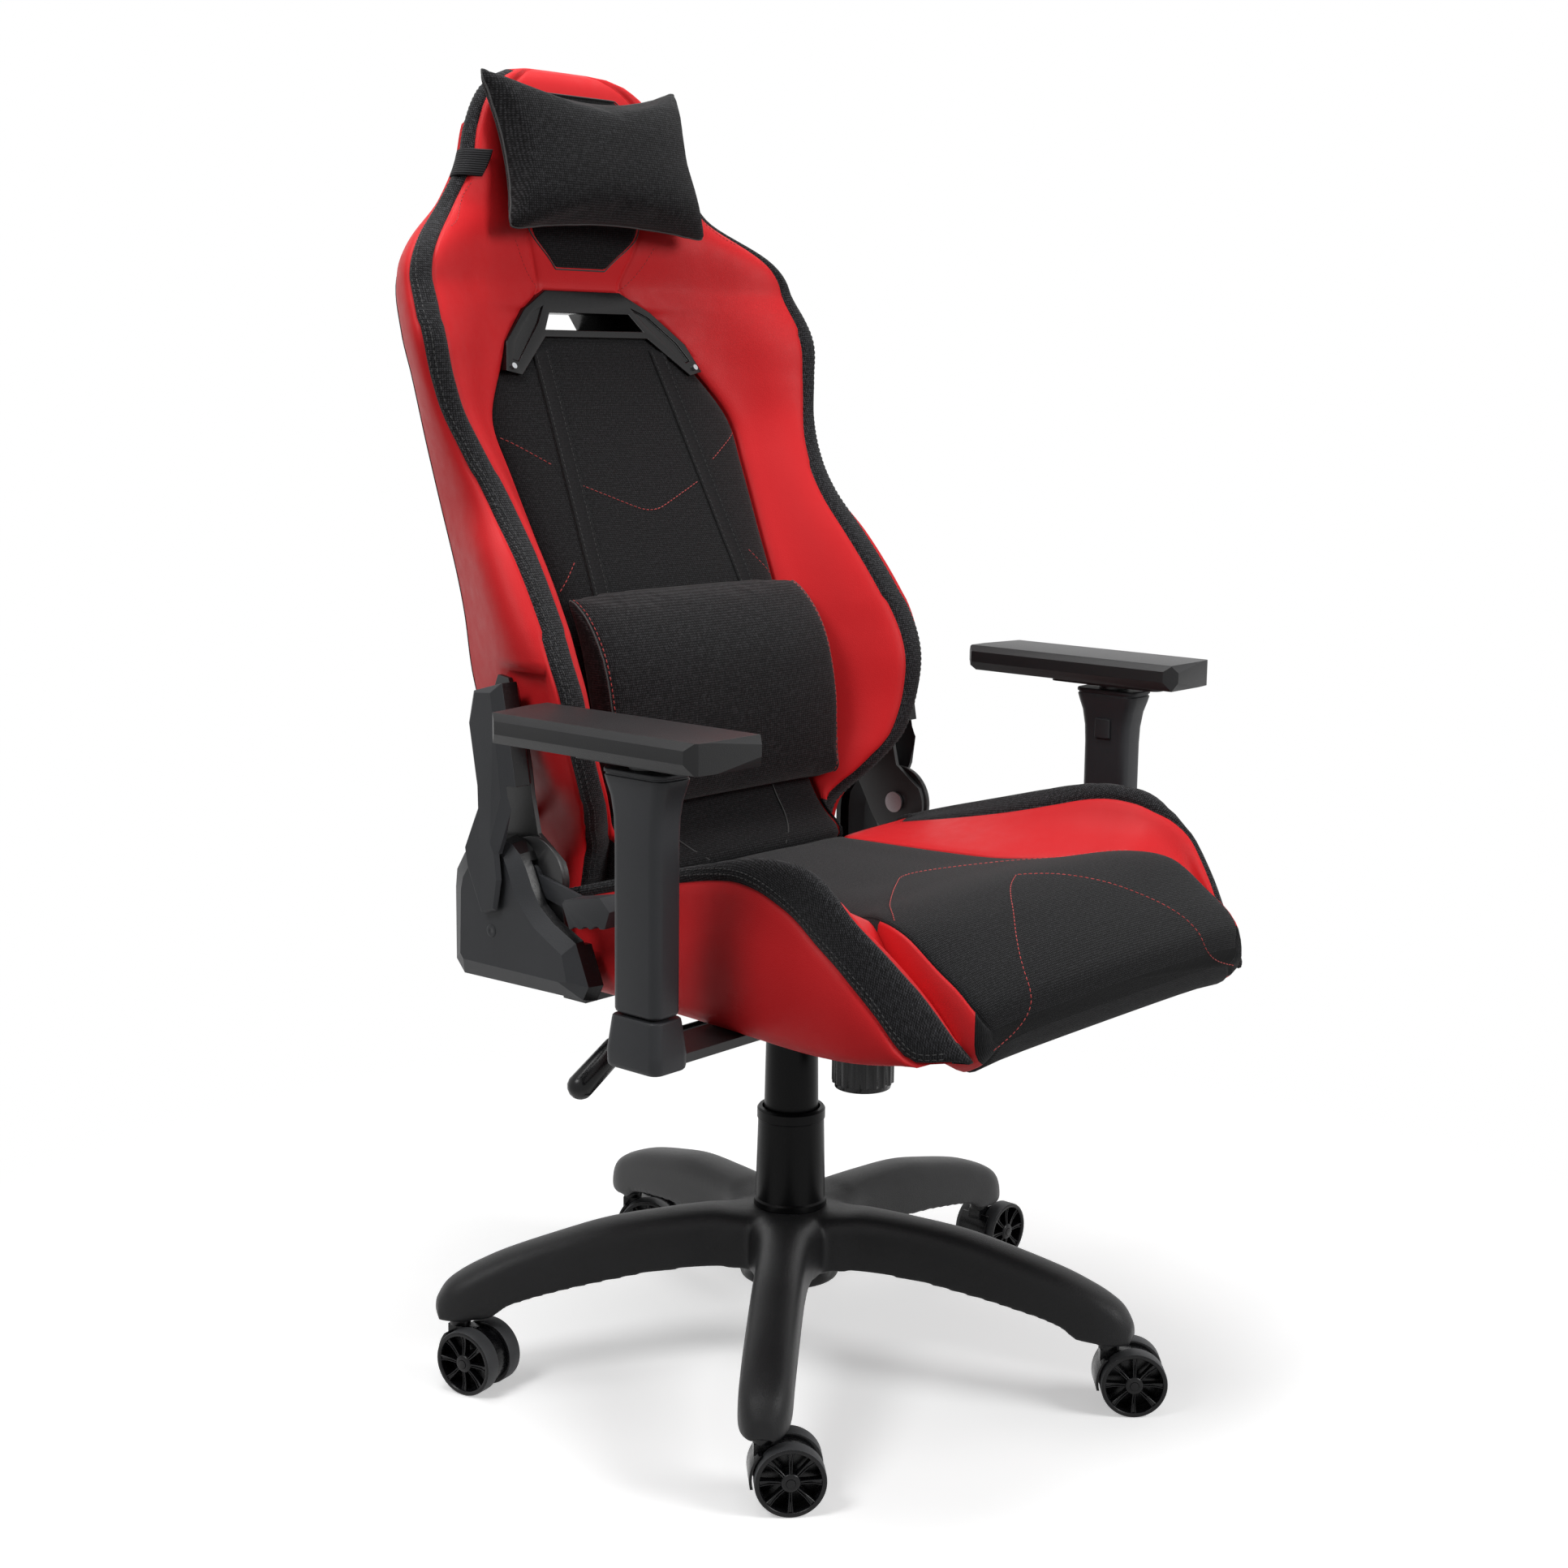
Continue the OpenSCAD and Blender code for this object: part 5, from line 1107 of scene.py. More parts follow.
def lumbar_ring(share):
    """Section of the lumbar cushion at a share of its half width."""
    depth, off = smooth(LUMBAR_DEPTH, abs(share)), smooth(LUMBAR_OFF, abs(share))
    rear, face = [], []
    for y, h in LUMBAR_FACE:
        rest = smooth(FRONT_Y, h) - 2.4
        high = 142 + (h - 142) * (0.9 + 0.1 * depth)
        rear.append((rest - off, high))
        face.append((rest - off - max(0.5, depth * (rest - y)), high))
    line = rounded(face + rear[::-1], 2, True)
    return [lifted((share * LUMBAR_HALF, y), h) for y, h in line]


def build_lumbar():
    ends = [0.85, 0.9, 0.94, 0.965, 0.992, 1]
    shares = [-share for share in ends[::-1]] + list(np.linspace(-0.78, 0.78, 27)) + ends
    cushion = skin("lumbar_pad", [lumbar_ring(share) for share in shares], "cushion_weave")
    puffed(cushion, 4, 0.3)
    placed(cushion, "lumbar")
    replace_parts(cushion, "lumbar_cushion")
    tree = tree_of(cushion)
    for side, word in zip(SIDES, ("right", "left")):
        ring = lumbar_ring(side * 0.955)
        seam = [tree.find_nearest(Vector(p))[0] for p in ring[:len(ring) // 2]]
        cording(f"lumbar_seam_{word}", seam, 1.0, "lumbar", "black_weave")
        run = [(x - side * 3.5, y, z) for x, y, z in seam]
        sewn(f"lumbar_stitches_{word}", [run], tree, "red_thread", "lumbar", "black_weave")


# The straps over the back's panel: half their spread and their height at both ends, and half a section
STRAP_X = (107, 80)
STRAP_H = (205, 485)
STRAP_EDGE = [(-11, 0), (-11.2, -1.2), (-10.4, -2.0), (-8.6, -1.5)]


def strap_x(h):
    """Half the spread of the straps' middles at a height."""
    return STRAP_X[0] + (STRAP_X[1] - STRAP_X[0]) * (h - STRAP_H[0]) / (STRAP_H[1] - STRAP_H[0])


def build_back_straps(cushion):
    """Two flat straps over the back's panel, with a turned edge along each side."""
    tree = tree_of(cushion)
    section = STRAP_EDGE + [(0, -1.9)] + [(-a, b) for a, b in STRAP_EDGE[::-1]]
    bands = []
    for side in SIDES:
        rings, uv = [], []
        for h in spaced([STRAP_H[0], STRAP_H[1] + 6], 7):
            x = side * strap_x(h)
            hit = dropped(tree, lifted((x, panel_y(h) - 60), h), (0, 1, 0))
            y = (hit.y if hit else PIVOT.y + panel_y(h)) - 0.4
            rings.append([(x + a, y + b, PIVOT.z + h) for a, b in section])
            uv += [(a, h) for a, b in section]
        bands.append(skin("strap", rings, "strap_weave", uv=uv))
    straps = joined("panel_straps", bands)
    placed(straps, "back")
    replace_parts(straps, "back_straps")
    runs = [[lifted((side * (strap_x(h) + off), panel_y(h) - 4), h) for h in spaced([215, 478], 12)]
            for side in SIDES for off in (-7.5, 7.5)]
    sewn("strap_stitches", runs, tree_of(straps), "black_thread", "back", "black_weave", gap=8)


# The head's inlay, and the stitches beside it, by height above the floor
INLAY = [(1066, 34), (1076, 45), (1098, 72), (1115, 79), (1130, 84), (1165, 88), (1200, 88), (1220, 78),
         (1236, 58)]
INLAY_STITCHES = [(57, 1047), (68, 1055), (80, 1067), (90, 1081), (98, 1094)]
CORNER_STITCHES = [(150, 1143), (163, 1130), (176, 1113), (186, 1104), (200, 1098)]


def build_inlay(cover):
    """The black fabric let into the head, with its sewn edge."""
    tree = tree_of(cover)
    rows = spaced([1066, 1098, 1200, 1236], 4)
    grid = []
    for z in rows:
        half = smooth(INLAY, z)
        row = []
        for x in np.linspace(-half, half, 33):
            hit = dropped(tree, (x, 150, z), (0, 1, 0))
            depth = 0.9 - 1.6 * ease(0.9, 1, max(abs(x) / half, (1072 - z) / 6 if z < 1072 else 0))
            row.append(hit - Vector((0, depth, 0)))
        grid.append(row)
    rings = [row + [p + Vector((0, 3, 0)) for p in row[::-1]] for row in grid]
    uv = [(p.x, p.z) for ring in rings for p in ring]
    skin("head_inlay", rings, "panel_weave", "back", "black_weave", uv)
    edge = [row[-1] for row in grid] + grid[-1][-2:0:-1] + [row[0] for row in grid[::-1]] + grid[0][1:-1]
    edge = [p - Vector((0, 0.7, 0)) for p in edge]
    cording("head_inlay_seam", edge, 0.8, "back", "black_weave", closed=True)
    runs = []
    for side in SIDES:
        for places in (INLAY_STITCHES, CORNER_STITCHES):
            hits = [dropped(tree, (side * x, 100, z), (0, 1, 0)) for x, z in places]
            runs.append([p for p in hits if p is not None])
    sewn("head_stitches", runs, tree, "red_shade_thread", "back", "red_leatherette", pitch=4.5, length=3.4,
         thick=0.35)


# ---------- base and castors ----------
# The base's turn in degrees, then rows along an arm: distance from the column and height or half width
STAR_TURN = 1.2
ARM_TOP = [(28, 156), (60, 158), (80, 160), (130, 158), (182, 153), (232, 142), (281, 129), (308, 119),
           (325, 111), (340, 101), (350, 86)]
ARM_FOOT = [(28, 92), (53, 102), (132, 103), (182, 98), (232, 91), (284, 80), (300, 70), (350, 68)]
ARM_HALF = [(28, 44), (52, 36), (80, 28), (110, 25), (150, 24), (310, 24), (330, 22), (343, 17), (350, 11)]
HUB = [(25.4, 82), (48, 83), (49.5, 86), (49.5, 120), (47, 146), (42, 154), (37, 156), (25.4, 156)]


def arm_ring(r):
    """Section of an arm of the base: crowned above, hollow below up to the stem's boss."""
    w, t, b = smooth(ARM_HALF, r), smooth(ARM_TOP, r), smooth(ARM_FOOT, r)
    solid = ease(284, 302, r)
    roof = (t - 6) * (1 - solid) + (b + 1.2) * solid
    half = [(0.97 * w, b), (w, b + 5), (w, 0.5 * b + 0.5 * (t - 16)), (0.975 * w, t - 16),
            (0.87 * w, t - 8.5), (0.66 * w, t - 3), (0.35 * w, t - 0.6)]
    under = [(w - 5, b), (w - 5, max(b + 0.6, roof - 9)), (0.5 * w, roof)]
    return ([(-u, v) for u, v in half] + [(0, t)] + half[::-1] + under + [(-u, v) for u, v in under[::-1]])


def build_base():
    parts = []
    for k in range(5):
        turn = Matrix.Rotation(math.radians(STAR_TURN + 72 * k), 3, "Z")
        rings = [[turn @ Vector((r, u, v)) for u, v in arm_ring(r)] for r in spaced([28, 284, 302, 350], 5)]
        parts.append(skin("arm", rings, "grained_nylon"))
    parts.append(piece("hub", *turned(HUB), ["grained_nylon"]))
    star = joined("five_arm_base", parts)
    remesh = star.modifiers.new("even", "REMESH")
    remesh.mode = "VOXEL"
    remesh.voxel_size = 2.2 * MM
    soft = star.modifiers.new("soft", "SMOOTH")
    soft.factor = 0.5
    soft.iterations = 22
    applied(star)
    star.data.shade_smooth()
    placed(star, "base")
    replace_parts(star, "base_star")
    coat("powder_coat", "gas_tube")
    coat("zinc_steel", "castor_stems")
    coat("column_abs", "lower_cover", "upper_cover")
    coat("bright_chrome", "piston_rod", "thrust_bearing", "lift_cylinder")


# Sections of the wheel's rim and hub: distance from the axle and depth
WHEEL_RIM = [(26.6, 0), (29.5, 0), (31, 0.6), (31.5, 2), (31.5, 15), (31, 16.4), (29.5, 17), (28, 17),
             (27.2, 16.4), (26.6, 14)]
WHEEL_HUB = [(4.25, 0), (8.2, 0), (8.8, 1), (8.8, 15), (8, 16.2), (6.4, 16.8), (4.25, 17)]
SPOKES = 8
# A spoke from hub to rim: distance from the axle, half its width and its height
SPOKE = [(7.5, 1.5, 15.6), (14, 1.7, 14.6), (21, 2.1, 14.4), (27.6, 2.8, 15.8)]


def wheel_form():
    """Points, faces and materials of a castor wheel that stands on z = 0, its outer face up."""
    points, faces = turned(WHEEL_RIM, 96)
    tread = [2 <= k % len(WHEEL_RIM) <= 4 for k in range(len(faces))]
    hub, hub_faces = turned(WHEEL_HUB, 96)
    faces += [[len(points) + v for v in face] for face in hub_faces]
    points += hub
    for spoke in range(SPOKES):
        start = len(points)
        turn = Matrix.Rotation(2 * math.pi * spoke / SPOKES, 3, "Z")
        for r, w, top in SPOKE:
            ridge = [(-w, 7), (-w, top - 0.5), (0.5 - w, top), (1.1 - w, top), (1.5 - w, top - 1.2)]
            points += [turn @ Vector((r, u, v)) for u, v in ridge + [(-u, v) for u, v in ridge[::-1]]]
        count = 2 * len(ridge)
        faces += quads(len(SPOKE), count, start=start) + caps(len(SPOKE), count, start)
    return points, faces, [int(k) for k in tread] + [0] * (len(faces) - len(tread))


def middle_of(node):
    """Middle of a CAD node's box, in metres."""
    return sum((Vector(corner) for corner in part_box(node)), Vector()) / 2


def build_castors():
    points, faces, indices = wheel_form()
    for k in range(1, 6):
        softened(f"castor_{k}_yoke", 1.0, "wheel_nylon")
        for side in "ab":
            node = f"castor_{k}_wheel_{side}"
            spin = JOINTS[f"wheel_{k}{side}_spin"]
            axle, out = Vector(spin["pos_m"]), Vector(spin["axis"]).normalized()
            out = out if (middle_of(node) - middle_of(f"castor_{k}_yoke")).dot(out) > 0 else -out
            near = min((v.co - axle).dot(out) for v in frame["nodes"][node].data.vertices)
            turn = out.to_track_quat("Z", "Y")
            start = (axle + out * near) / MM
            made = piece(f"castor_{k}_{side}", [turn @ Vector(p) + start for p in points], faces,
                         ["wheel_nylon", "grey_tread"], indices)
            bevelled(made, 0.35, 2, 40)
            placed(made, f"wheel_{k}{side}")
            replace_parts(made, node)


# ---------- arms ----------
# The arms' uprights from the middle and the pivot's axis, then rows up a sleeve: height, width, depth and
# corner radius
ARM_X = 342
ARM_Y = -136
POST = [(446, 29, 48, 8), (447.5, 32, 51, 9), (450, 33, 52, 9), (595, 33, 52.5, 9), (612, 33.6, 54, 9),
        (628, 35.5, 60, 10), (638, 38.5, 67.5, 11), (644, 40.5, 70.5, 11), (645, 40.5, 70.5, 11),
        (645.6, 38.5, 68.5, 10), (647, 38.5, 68.5, 10), (647.6, 41.5, 71.5, 11), (650, 41.5, 71.5, 11),
        (651, 40, 70, 10)]
COLLAR = [(400, 38, 57, 8), (401.5, 40.5, 60, 9), (404, 41.5, 61, 9), (414, 42, 61.5, 9),
          (416, 41.6, 61, 9), (440, 36.5, 56, 9), (443, 35.5, 55, 9), (444, 34, 53, 9)]


# The bracket's upright, with the gap that its sleeves keep round it
UPRIGHT = (14, 38)
POST_GAP, COLLAR_GAP = 1.2, 0.3


def upright_ring(gap, radius, middle, z):
    """A level ring round the bracket's upright at a gap from it."""
    return block_ring(UPRIGHT[0] + gap, UPRIGHT[1] + gap, radius, middle, z)


def build_arms():
    collars = []
    for side, word, letter in zip(SIDES, ("right", "left"), "rl"):
        middle = (side * ARM_X, ARM_Y)
        rings = [upright_ring(POST_GAP, 0.8, middle, z) for z in (597, 446)]
        rings += [block_ring(w, d, r, middle, z) for z, w, d, r in POST]
        post = bevelled(skin(f"{word}_arm_post", rings, "satin_abs"), 0.4, 2, 35)
        placed(post, f"{word}_post")
        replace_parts(post, f"arm_{letter}_post")
        softened(f"arm_{letter}_pad", sizes().pad_edge / MM, "soft_polyurethane", 4, 20)
        softened(f"arm_{letter}_button", 1.2, "satin_abs")
        coat("powder_coat", f"arm_{letter}_plate")
        rings = [block_ring(w, d, r, middle, z) for z, w, d, r in COLLAR]
        foot, top = (upright_ring(COLLAR_GAP, 0.6, middle, z) for z in (400, 444))
        collars.append(skin("collar", [foot, *rings, top], "satin_abs"))
    both = bevelled(joined("arm_foot_collars", collars), 0.5, 2, 35)
    placed(both, "seat")
    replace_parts(both, "arm_collars")
    coat("powder_coat", "arm_brackets")


# ---------- recliner ----------
# Distances from the middle: the lower covers' inner side and face, the upper covers' face, and the links
COVER_X = 268
COVER_FACE = 291.5
TOP_FACE = 294
PLATE_X = 257
# Outlines as (behind the pivot, height above it), with a third value where a point stands further out
LOW_COVER = [(22, 34), (11, 32), (1, 24), (-7, 12), (-15, -5), (-25, -20), (-41, -32), (-71, -46),
             (-87, -83), (-80, -96), (77, -99), (88, -87), (88, -19), (86, -2), (75, 15), (50, 30)]
LOW_FACE = [(22, 24), (14, 20), (10, 12), (6, 3), (1, -10), (-10, -24), (-25, -38), (-61, -57), (-67, -80),
            (-56, -82), (70, -83), (74, -78), (72, -18), (69, -6), (62, 4), (46, 18)]
TOP_COVER = [(16, 178), (10, 148), (-2, 80), (9, 37, 7), (14, 25, 7), (11, 1, 7), (17, -28, 7),
             (36, -34, 7), (55, 8, 7), (58, 26, 7), (47, 66), (60, 138), (53, 168)]
TOP_INNER = [(27, 168.5), (23, 146.5), (13.5, 75.5), (22, 34, 6), (17, 24, 6), (14, 1, 6), (19, -26, 6),
             (35, -31, 6), (53, 8, 6), (56, 25, 6), (42, 66), (55, 138), (48, 167)]
# The frame's rear bar: its place behind the pivot and its width
BAR_Y = -35
BAR_W = 30
ARM_PLATE = [(36 * math.cos(a), 36 * math.sin(a)) for a in np.radians(np.arange(150, 331, 12))]
ARM_PLATE += [(62, 36), (81, 112), (52, 180), (38, 178), (31, 161), (18, 129), (11, 96), (8, 74), (0, 40)]
CAP = [(0.01, 0), (5.6, 0), (6, 0.3), (6, 0.5), (5.6, 0.8), (0.01, 0.8)]


def side_form(name, stations, side, material="satin_abs"):
    """A form through outlines about the pivot, each at its distance from the middle."""
    rings = [[(side * (x + sum(p[2:])), PIVOT.y + p[0], PIVOT.z + p[1]) for p in outline]
             for x, outline in stations]
    return skin(name, rings, material)


def block(name, low, high, side):
    """A plain cutter between two corners."""
    ring = [(low[1], low[2]), (high[1], low[2]), (high[1], high[2]), (low[1], high[2])]
    return side_form(name, [(low[0], ring), (high[0], ring)], side)


def ring_of(radius, angles):
    """Points at a distance from the pivot."""
    return [(radius * math.cos(a), radius * math.sin(a)) for a in angles]


def low_cover(side):
    """A lower side cover: a shell that is open towards the seat, with a way in for the recliner."""
    cover = side_form("low", [(COVER_X, inset(LOW_COVER, -3)), (COVER_FACE - 8, LOW_COVER),
                              (COVER_FACE, LOW_FACE)], side)
    room = [(COVER_X - 1, inset(LOW_COVER, 3)), (COVER_FACE - 11, inset(LOW_COVER, 4)),
            (COVER_FACE - 2.5, inset(LOW_FACE, 4))]
    cut(cover, side_form("room", room, side))
    return cut(cover, block("way", (COVER_X - 1, -120, -48), (COVER_X + 7, 10, 18), side))


def high_cover(side):
    """An upper side cover: a shell whose tongue hangs over the lower cover's face."""
    ring = [p[:2] for p in TOP_COVER]
    cover = side_form("high", [(263, inset(ring, 8)), (272, ring), (TOP_FACE - 4, TOP_COVER),
                               (TOP_FACE, TOP_INNER)], side)
    cut(cover, block("overlap", (PLATE_X, -60, -60), (COVER_FACE + 0.7, 100, 86), side))
    cut(cover, block("clearance", (COVER_FACE, -60, -60), (TOP_FACE + 2, 100, 24), side))
    room = side_form("room", [(261, inset(ring, 12)), (TOP_FACE - 6, inset(ring, 9))], side)
    cut(room, block("below", (PLATE_X - 2, -60, -80), (320, 100, 90), side))
    return cut(cover, room)


def build_side_covers():
    # Each kind of cover, with how far out its inner walls' dark, smooth finish reaches
    for name, form, body, node, lip in (
            ("recliner_shrouds", low_cover, "seat", "lower_side_covers", COVER_FACE - 8.6),
            ("back_shrouds", high_cover, "back", "upper_side_covers", TOP_FACE - 4.6)):
        made = bevelled(joined(name, [form(side) for side in SIDES]), sizes().cover_edge / MM, 3, 12)
        made.data.materials.append(finish("gloss_abs"))
        for face in made.data.polygons:
            face.material_index = int(abs(face.center.x) < lip * MM)
        placed(made, body)
        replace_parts(made, node)
    for name, out, y, h, body in (
            ("low", COVER_FACE, 31, -50, "seat"), ("high", TOP_FACE, 38, 122, "back")):
        discs = []
        for side in SIDES:
            points, faces = turned(CAP, 40)
            points = [(side * (out + z - 0.3), PIVOT.y + y + u, PIVOT.z + h + v) for u, v, z in points]
            discs.append(piece("cap", points, faces, ["satin_abs"]))
        placed(joined(f"screw_caps_{name}", discs), body)
    softened("recline_lever", 1.6, "satin_abs", 3, 20)


def build_recliner():
    """The links of the back, the seat's frame and the stands that carry the back."""
    plates = []
    for side in SIDES:
        plate = side_form("plate", [(PLATE_X, ARM_PLATE), (PLATE_X + 5, ARM_PLATE)], side, "powder_coat")
        bore = ring_of(8.1, np.linspace(0, 2 * math.pi, 48, endpoint=False))
        plates.append(cut(plate, side_form("bore", [(PLATE_X - 2, bore), (PLATE_X + 7, bore)], side)))
    made = bevelled(joined("recliner_links", plates), 0.5, 2, 35)
    placed(made, "back")
    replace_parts(made, "recliner_arms")
    # The stands' feet turn in over the rear bar, behind the covers' lower edge
    rails = softened("seat_frame", 0.8, "powder_coat", 2, 35)
    stands = softened("recliner_plates", 0.5, "powder_coat", 2, 35)
    foot = SEAT_BASE - PIVOT.z
    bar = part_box("seat_frame")[0].z / MM - PIVOT.z
    flanges = []
    for side in SIDES:
        cut(rails, block("end", (236, BAR_Y - 3, bar - 2), (275, BAR_Y + BAR_W + 3, foot + 2), side))
        cut(stands, block("foot", (262, -120, bar - 2), (270, 60, foot), side))
        flanges.append(block("flange", (222, BAR_Y, foot), (PLATE_X + 8, BAR_Y + BAR_W, foot + 4), side))
    flange = joined("recliner_feet", flanges)
    flange.data.materials.clear()
    flange.data.materials.append(finish("powder_coat"))
    placed(flange, "seat")
    coat("powder_coat", "back_frame")
    coat("zinc_steel", "fasteners", "bezel_screws")


# ---------- studio ----------
WHITE = (1, 1, 1, 1)
FLOOR_HALF = 30
# Each lamp: its place and what it points at in metres, its width in metres and its power in watts
LAMPS = {
    "key": ((0.9, -2.8, 2.1), (0, 0, 0.75), 1.5, 56),
    "side": ((-2.3, 0.2, 2.8), (0, 0, 0.7), 1.2, 40),
    "top": ((-0.2, 0.2, 3.1), (0, 0, 0.4), 1.8, 48),
}
# The camera: place in metres, turns about the upright, across and along the view in degrees, lens, shifts
EYE = (-1.6936, -1.4610, 0.9791)
EYE_TURNS = ((-49.218, "Z"), (80.381, "X"), (0.704, "Z"))
EYE_LENS = 54.21
EYE_SHIFT = (-0.00736, -0.01492)


def background_rays(tree):
    """1 for the rays that show the white background: the camera's, reflections and seen through glass."""
    path = add(tree, "ShaderNodeLightPath")
    others = add(tree, "ShaderNodeMath", {0: path.outputs["Is Glossy Ray"],
                                          1: path.outputs["Is Transmission Ray"]}, operation="MAXIMUM")
    return add(tree, "ShaderNodeMath", {0: path.outputs["Is Camera Ray"], 1: others}, operation="MAXIMUM")


def build_stage():
    floor = bpy.data.meshes.new("floor")
    corners = [(x * FLOOR_HALF, y * FLOOR_HALF, 0) for x, y in ((-1, -1), (1, -1), (1, 1), (-1, 1))]
    floor.from_pydata(corners, [], [(0, 1, 2, 3)])
    ground = bpy.data.objects.new("floor", floor)
    placed(ground)
    # Matt paper near the chair, so that it takes the shadow, and plain white further out
    material, tree = blank("studio_paper")
    matt = add(tree, "ShaderNodeBsdfDiffuse", {"Color": (0.9, 0.9, 0.9, 1)})
    lift = add(tree, "ShaderNodeEmission", {"Color": WHITE, "Strength": 0.4})
    paper = add(tree, "ShaderNodeAddShader", {0: matt, 1: lift})
    glow = add(tree, "ShaderNodeEmission", {"Color": WHITE, "Strength": 1.0})
    where = add(tree, "ShaderNodeTexCoord").outputs["Object"]
    away = add(tree, "ShaderNodeVectorMath", {0: where}, operation="LENGTH").outputs["Value"]
    far = add(tree, "ShaderNodeMapRange", {"Value": away, "From Min": 0.45, "From Max": 1.1},
              interpolation_type="SMOOTHSTEP")
    mix = add(tree, "ShaderNodeMixShader", {0: far, 1: paper, 2: glow})
    dim = add(tree, "ShaderNodeBsdfDiffuse", {"Color": (0.3, 0.3, 0.3, 1)})
    sight = add(tree, "ShaderNodeMixShader", {0: background_rays(tree), 1: dim, 2: mix})
    add(tree, "ShaderNodeOutputMaterial", {"Surface": sight})
    floor.materials.append(material)
    scene = bpy.context.scene
    scene.world = bpy.data.worlds.new("studio")
    scene.world.use_nodes = True
    tree = scene.world.node_tree
    tree.nodes.clear()
    strength = add(tree, "ShaderNodeMapRange", {"Value": background_rays(tree), "To Min": 0.14,
                                                "To Max": 1.0})
    back = add(tree, "ShaderNodeBackground", {"Color": WHITE, "Strength": strength})
    add(tree, "ShaderNodeOutputWorld", {"Surface": back})
    for name, (place, target, size, power) in LAMPS.items():
        light = bpy.data.lights.new(name, "AREA")
        light.shape = "DISK"
        light.size = size
        light.energy = power
        holder = placed(bpy.data.objects.new(name, light))
        holder.location = place
        holder.rotation_euler = (Vector(target) - Vector(place)).to_track_quat("-Z", "Y").to_euler()
    scene.view_settings.view_transform = "Standard"
    camera = bpy.data.cameras.new("camera")
    camera.lens = EYE_LENS
    camera.sensor_width = 36
    camera.shift_x, camera.shift_y = EYE_SHIFT
    camera.clip_end = 100
    eye = placed(bpy.data.objects.new("camera", camera))
    eye.location = EYE
    turn = Matrix.Identity(4)
    for angle, axis in EYE_TURNS:
        turn = turn @ Matrix.Rotation(math.radians(angle), 4, axis)
    eye.rotation_euler = turn.to_euler()
    scene.camera = eye


# ---------- add-on ----------
def length_of(name, description, size):
    """A length property with its default in millimetres."""
    return bpy.props.FloatProperty(name=name, description=description, default=size * MM, min=0.0,
                                   unit="LENGTH", subtype="DISTANCE")


def colour_of(name, description, code):
    """A colour property with its default as an sRGB hex value."""
    return bpy.props.FloatVectorProperty(name=name, description=description, default=linear(code)[:3],
                                         subtype="COLOR", size=3, min=0.0, max=1.0)


class ChairSizes(bpy.types.PropertyGroup):
    """Sizes of the upholstery and the trim."""
    band_width: length_of("Band width", "Width of the woven band that is sewn round the back's rim", 30)
    stitch_pitch: length_of("Stitch pitch", "Distance from one stitch to the next", 5.5)
    cover_edge: length_of("Cover edge", "Rounding of the side covers' edges", 0.9)
    pad_edge: length_of("Arm pad edge", "Rounding of the arm pads' edges", 2.6)


class ChairColours(bpy.types.PropertyGroup):
    """Colours of the upholstery and the trim."""
    red_light: colour_of("Red, light", "Leatherette where its grain stands proud", "#C92428")
    red_dark: colour_of("Red, dark", "Leatherette in its slow shading", "#B01A1E")
    weave_fleck: colour_of("Weave fleck", "Threads of the black fabric that catch the light", "#303032")
    plastic: colour_of("Plastic", "Satin plastic of the covers and the arm posts", "#38393C")
    thread: colour_of("Thread", "Contrast thread of the chevrons", "#B2322F")


class CHAIR_OT_stage(bpy.types.Operator):
    """Adds the floor, the lamps and the camera"""
    bl_idname = "chair.stage"
    bl_label = "Studio"

    def execute(self, context):
        build_stage()
        return {"FINISHED"}


class CHAIR_OT_seat(bpy.types.Operator):
    """Builds the seat's cushion and bolsters with their seams"""
    bl_idname = "chair.seat"
    bl_label = "Seat"

    def execute(self, context):
        build_seat()
        return {"FINISHED"}


class CHAIR_OT_back(bpy.types.Operator):
    """Builds the back's cover, middle cushion, rear shell and seams"""
    bl_idname = "chair.back"
    bl_label = "Back"

    def execute(self, context):
        build_back()
        return {"FINISHED"}


class CHAIR_OT_bezel(bpy.types.Operator):
    """Finishes the bezel round the slot in the back"""
    bl_idname = "chair.bezel"
    bl_label = "Bezel"

    def execute(self, context):
        softened("handle_bezel", 1.3, "gloss_abs", 3, 20)
        return {"FINISHED"}


class CHAIR_OT_pillow(bpy.types.Operator):
    """Builds the head pillow and its elastic"""
    bl_idname = "chair.pillow"
    bl_label = "Head pillow"

    def execute(self, context):
        build_pillow()
        return {"FINISHED"}


class CHAIR_OT_lumbar(bpy.types.Operator):
    """Builds the lumbar cushion"""
    bl_idname = "chair.lumbar"
    bl_label = "Lumbar cushion"

    def execute(self, context):
        build_lumbar()
        return {"FINISHED"}


class CHAIR_OT_arms(bpy.types.Operator):
    """Builds the arm posts and collars and finishes the pads and plates"""
    bl_idname = "chair.arms"
    bl_label = "Arms"

    def execute(self, context):
        build_arms()
        return {"FINISHED"}


class CHAIR_OT_covers(bpy.types.Operator):
    """Builds the side covers, the links and the stands, and finishes the recline lever"""
    bl_idname = "chair.covers"
    bl_label = "Side covers"

    def execute(self, context):
        build_side_covers()
        build_recliner()
        return {"FINISHED"}


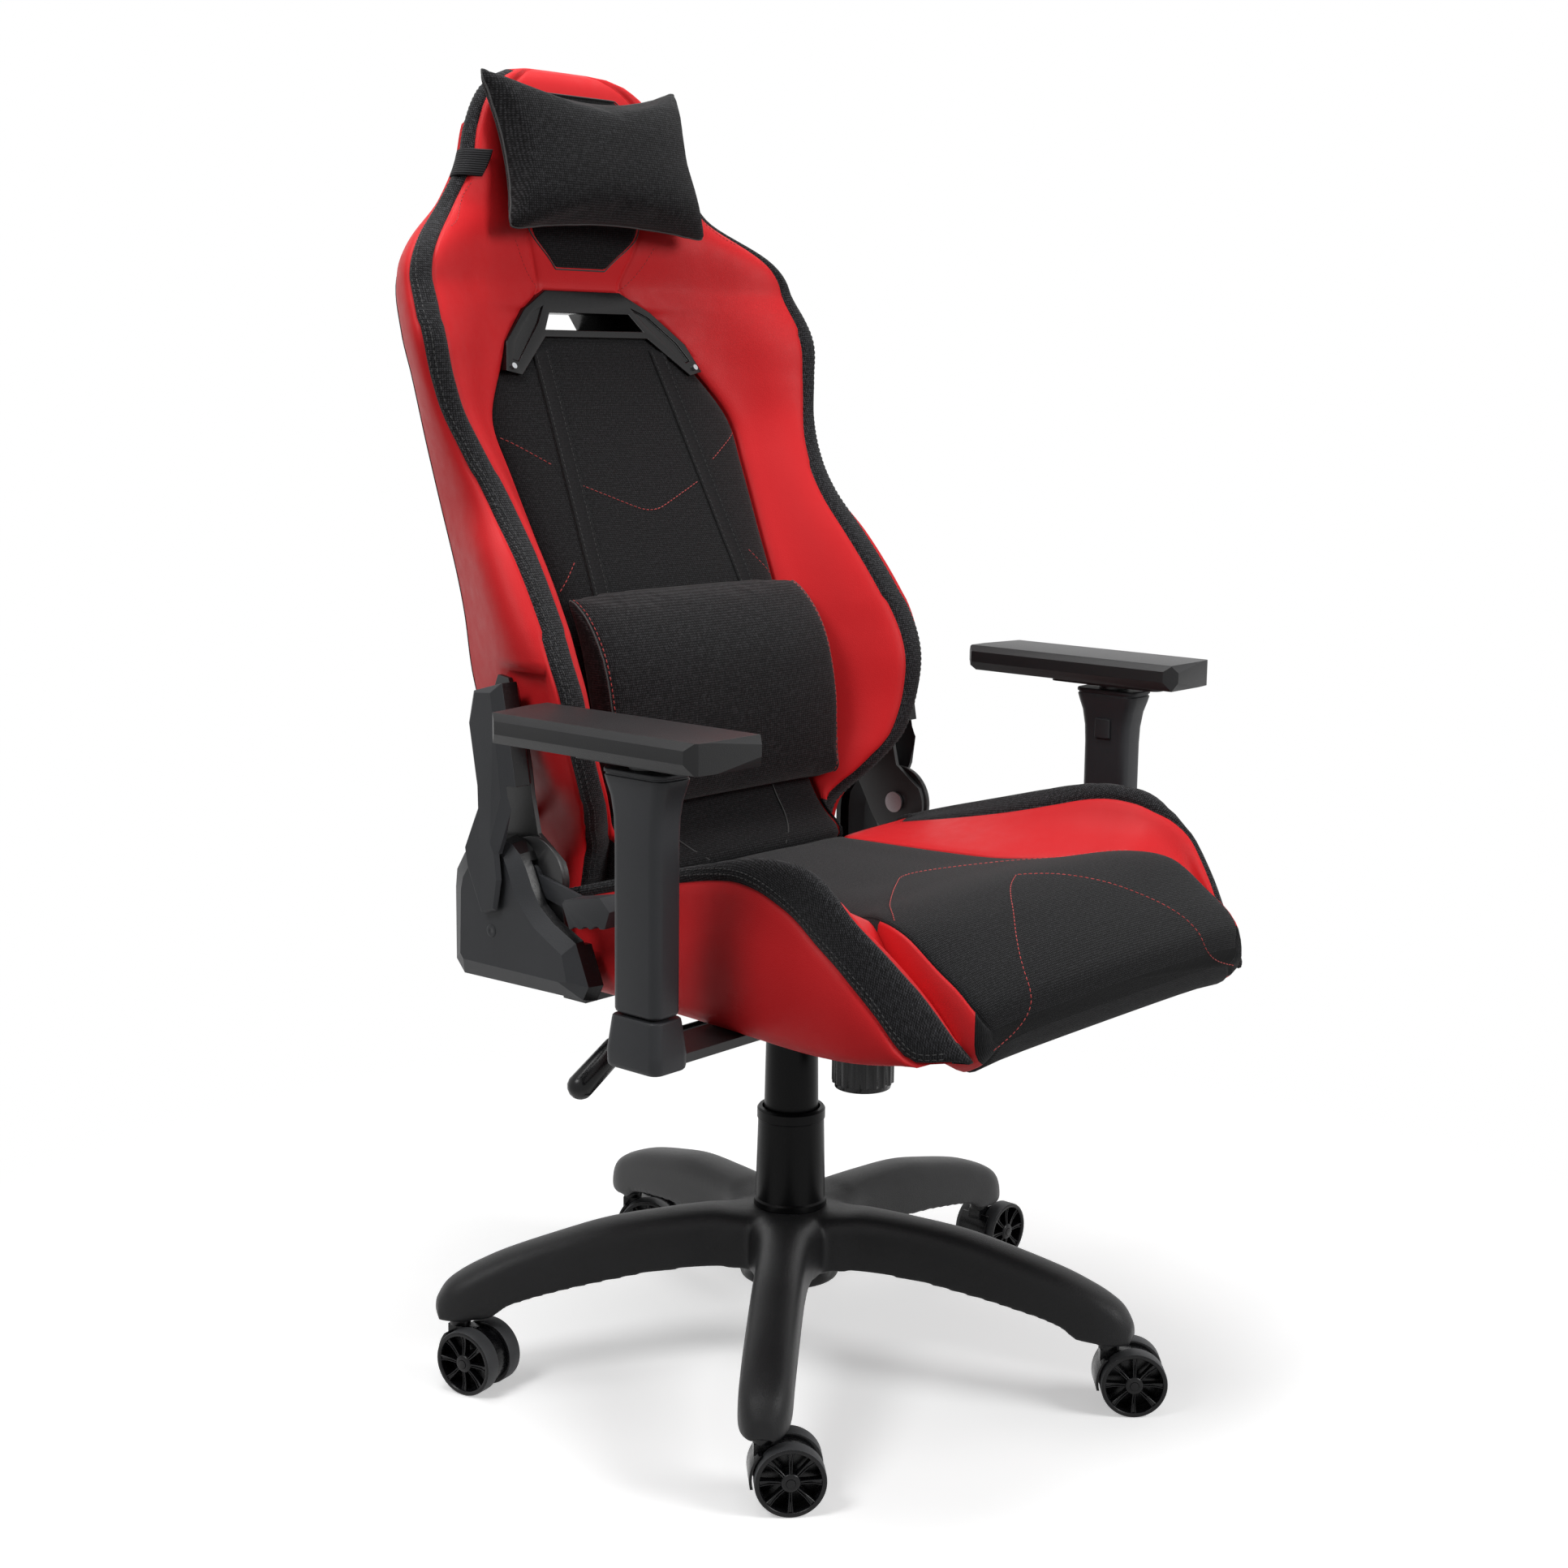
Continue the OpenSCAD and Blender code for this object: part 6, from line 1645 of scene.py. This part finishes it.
class CHAIR_OT_mechanism(bpy.types.Operator):
    """Finishes the tilt mechanism, its knob and its lever"""
    bl_idname = "chair.mechanism"
    bl_label = "Mechanism"

    def execute(self, context):
        softened("lift_lever", 1.2, "wheel_nylon", 3, 30)
        softened("tension_knob", 0.7, "wheel_nylon", 2, 30)
        coat("powder_coat", "mech_housing", "mech_plate")
        coat("zinc_steel", "tilt_axle", "tension_spring", "lock_slider")
        return {"FINISHED"}


class CHAIR_OT_base(bpy.types.Operator):
    """Builds the five-arm base and finishes the column"""
    bl_idname = "chair.base"
    bl_label = "Base"

    def execute(self, context):
        build_base()
        return {"FINISHED"}


class CHAIR_OT_castors(bpy.types.Operator):
    """Builds the castor wheels and finishes their hoods"""
    bl_idname = "chair.castors"
    bl_label = "Castors"

    def execute(self, context):
        build_castors()
        return {"FINISHED"}


OPERATORS = (CHAIR_OT_stage, CHAIR_OT_seat, CHAIR_OT_back, CHAIR_OT_bezel, CHAIR_OT_pillow, CHAIR_OT_lumbar,
             CHAIR_OT_arms, CHAIR_OT_covers, CHAIR_OT_mechanism, CHAIR_OT_base, CHAIR_OT_castors)


class CHAIR_PT_parts(bpy.types.Panel):
    """Lists the sizes, the colours and the pieces"""
    bl_idname = "CHAIR_PT_parts"
    bl_label = "Swivel chair"
    bl_space_type = "VIEW_3D"
    bl_region_type = "UI"
    bl_category = "Chair"

    def draw(self, context):
        for group in (sizes(), context.scene.chair_colours):
            column = self.layout.column(align=True)
            for name in type(group).__annotations__:
                column.prop(group, name)
        for made in OPERATORS:
            self.layout.operator(made.bl_idname)


CLASSES = (ChairSizes, ChairColours) + OPERATORS + (CHAIR_PT_parts,)


def register():
    for made in CLASSES:
        bpy.utils.register_class(made)
    bpy.types.Scene.chair_sizes = bpy.props.PointerProperty(type=ChairSizes)
    bpy.types.Scene.chair_colours = bpy.props.PointerProperty(type=ChairColours)


def unregister():
    del bpy.types.Scene.chair_colours
    del bpy.types.Scene.chair_sizes
    for made in reversed(CLASSES):
        bpy.utils.unregister_class(made)


def main():
    register()
    for made in OPERATORS:
        getattr(bpy.ops.chair, made.bl_idname.split(".")[1])()


if __name__ == "__main__":
    main()
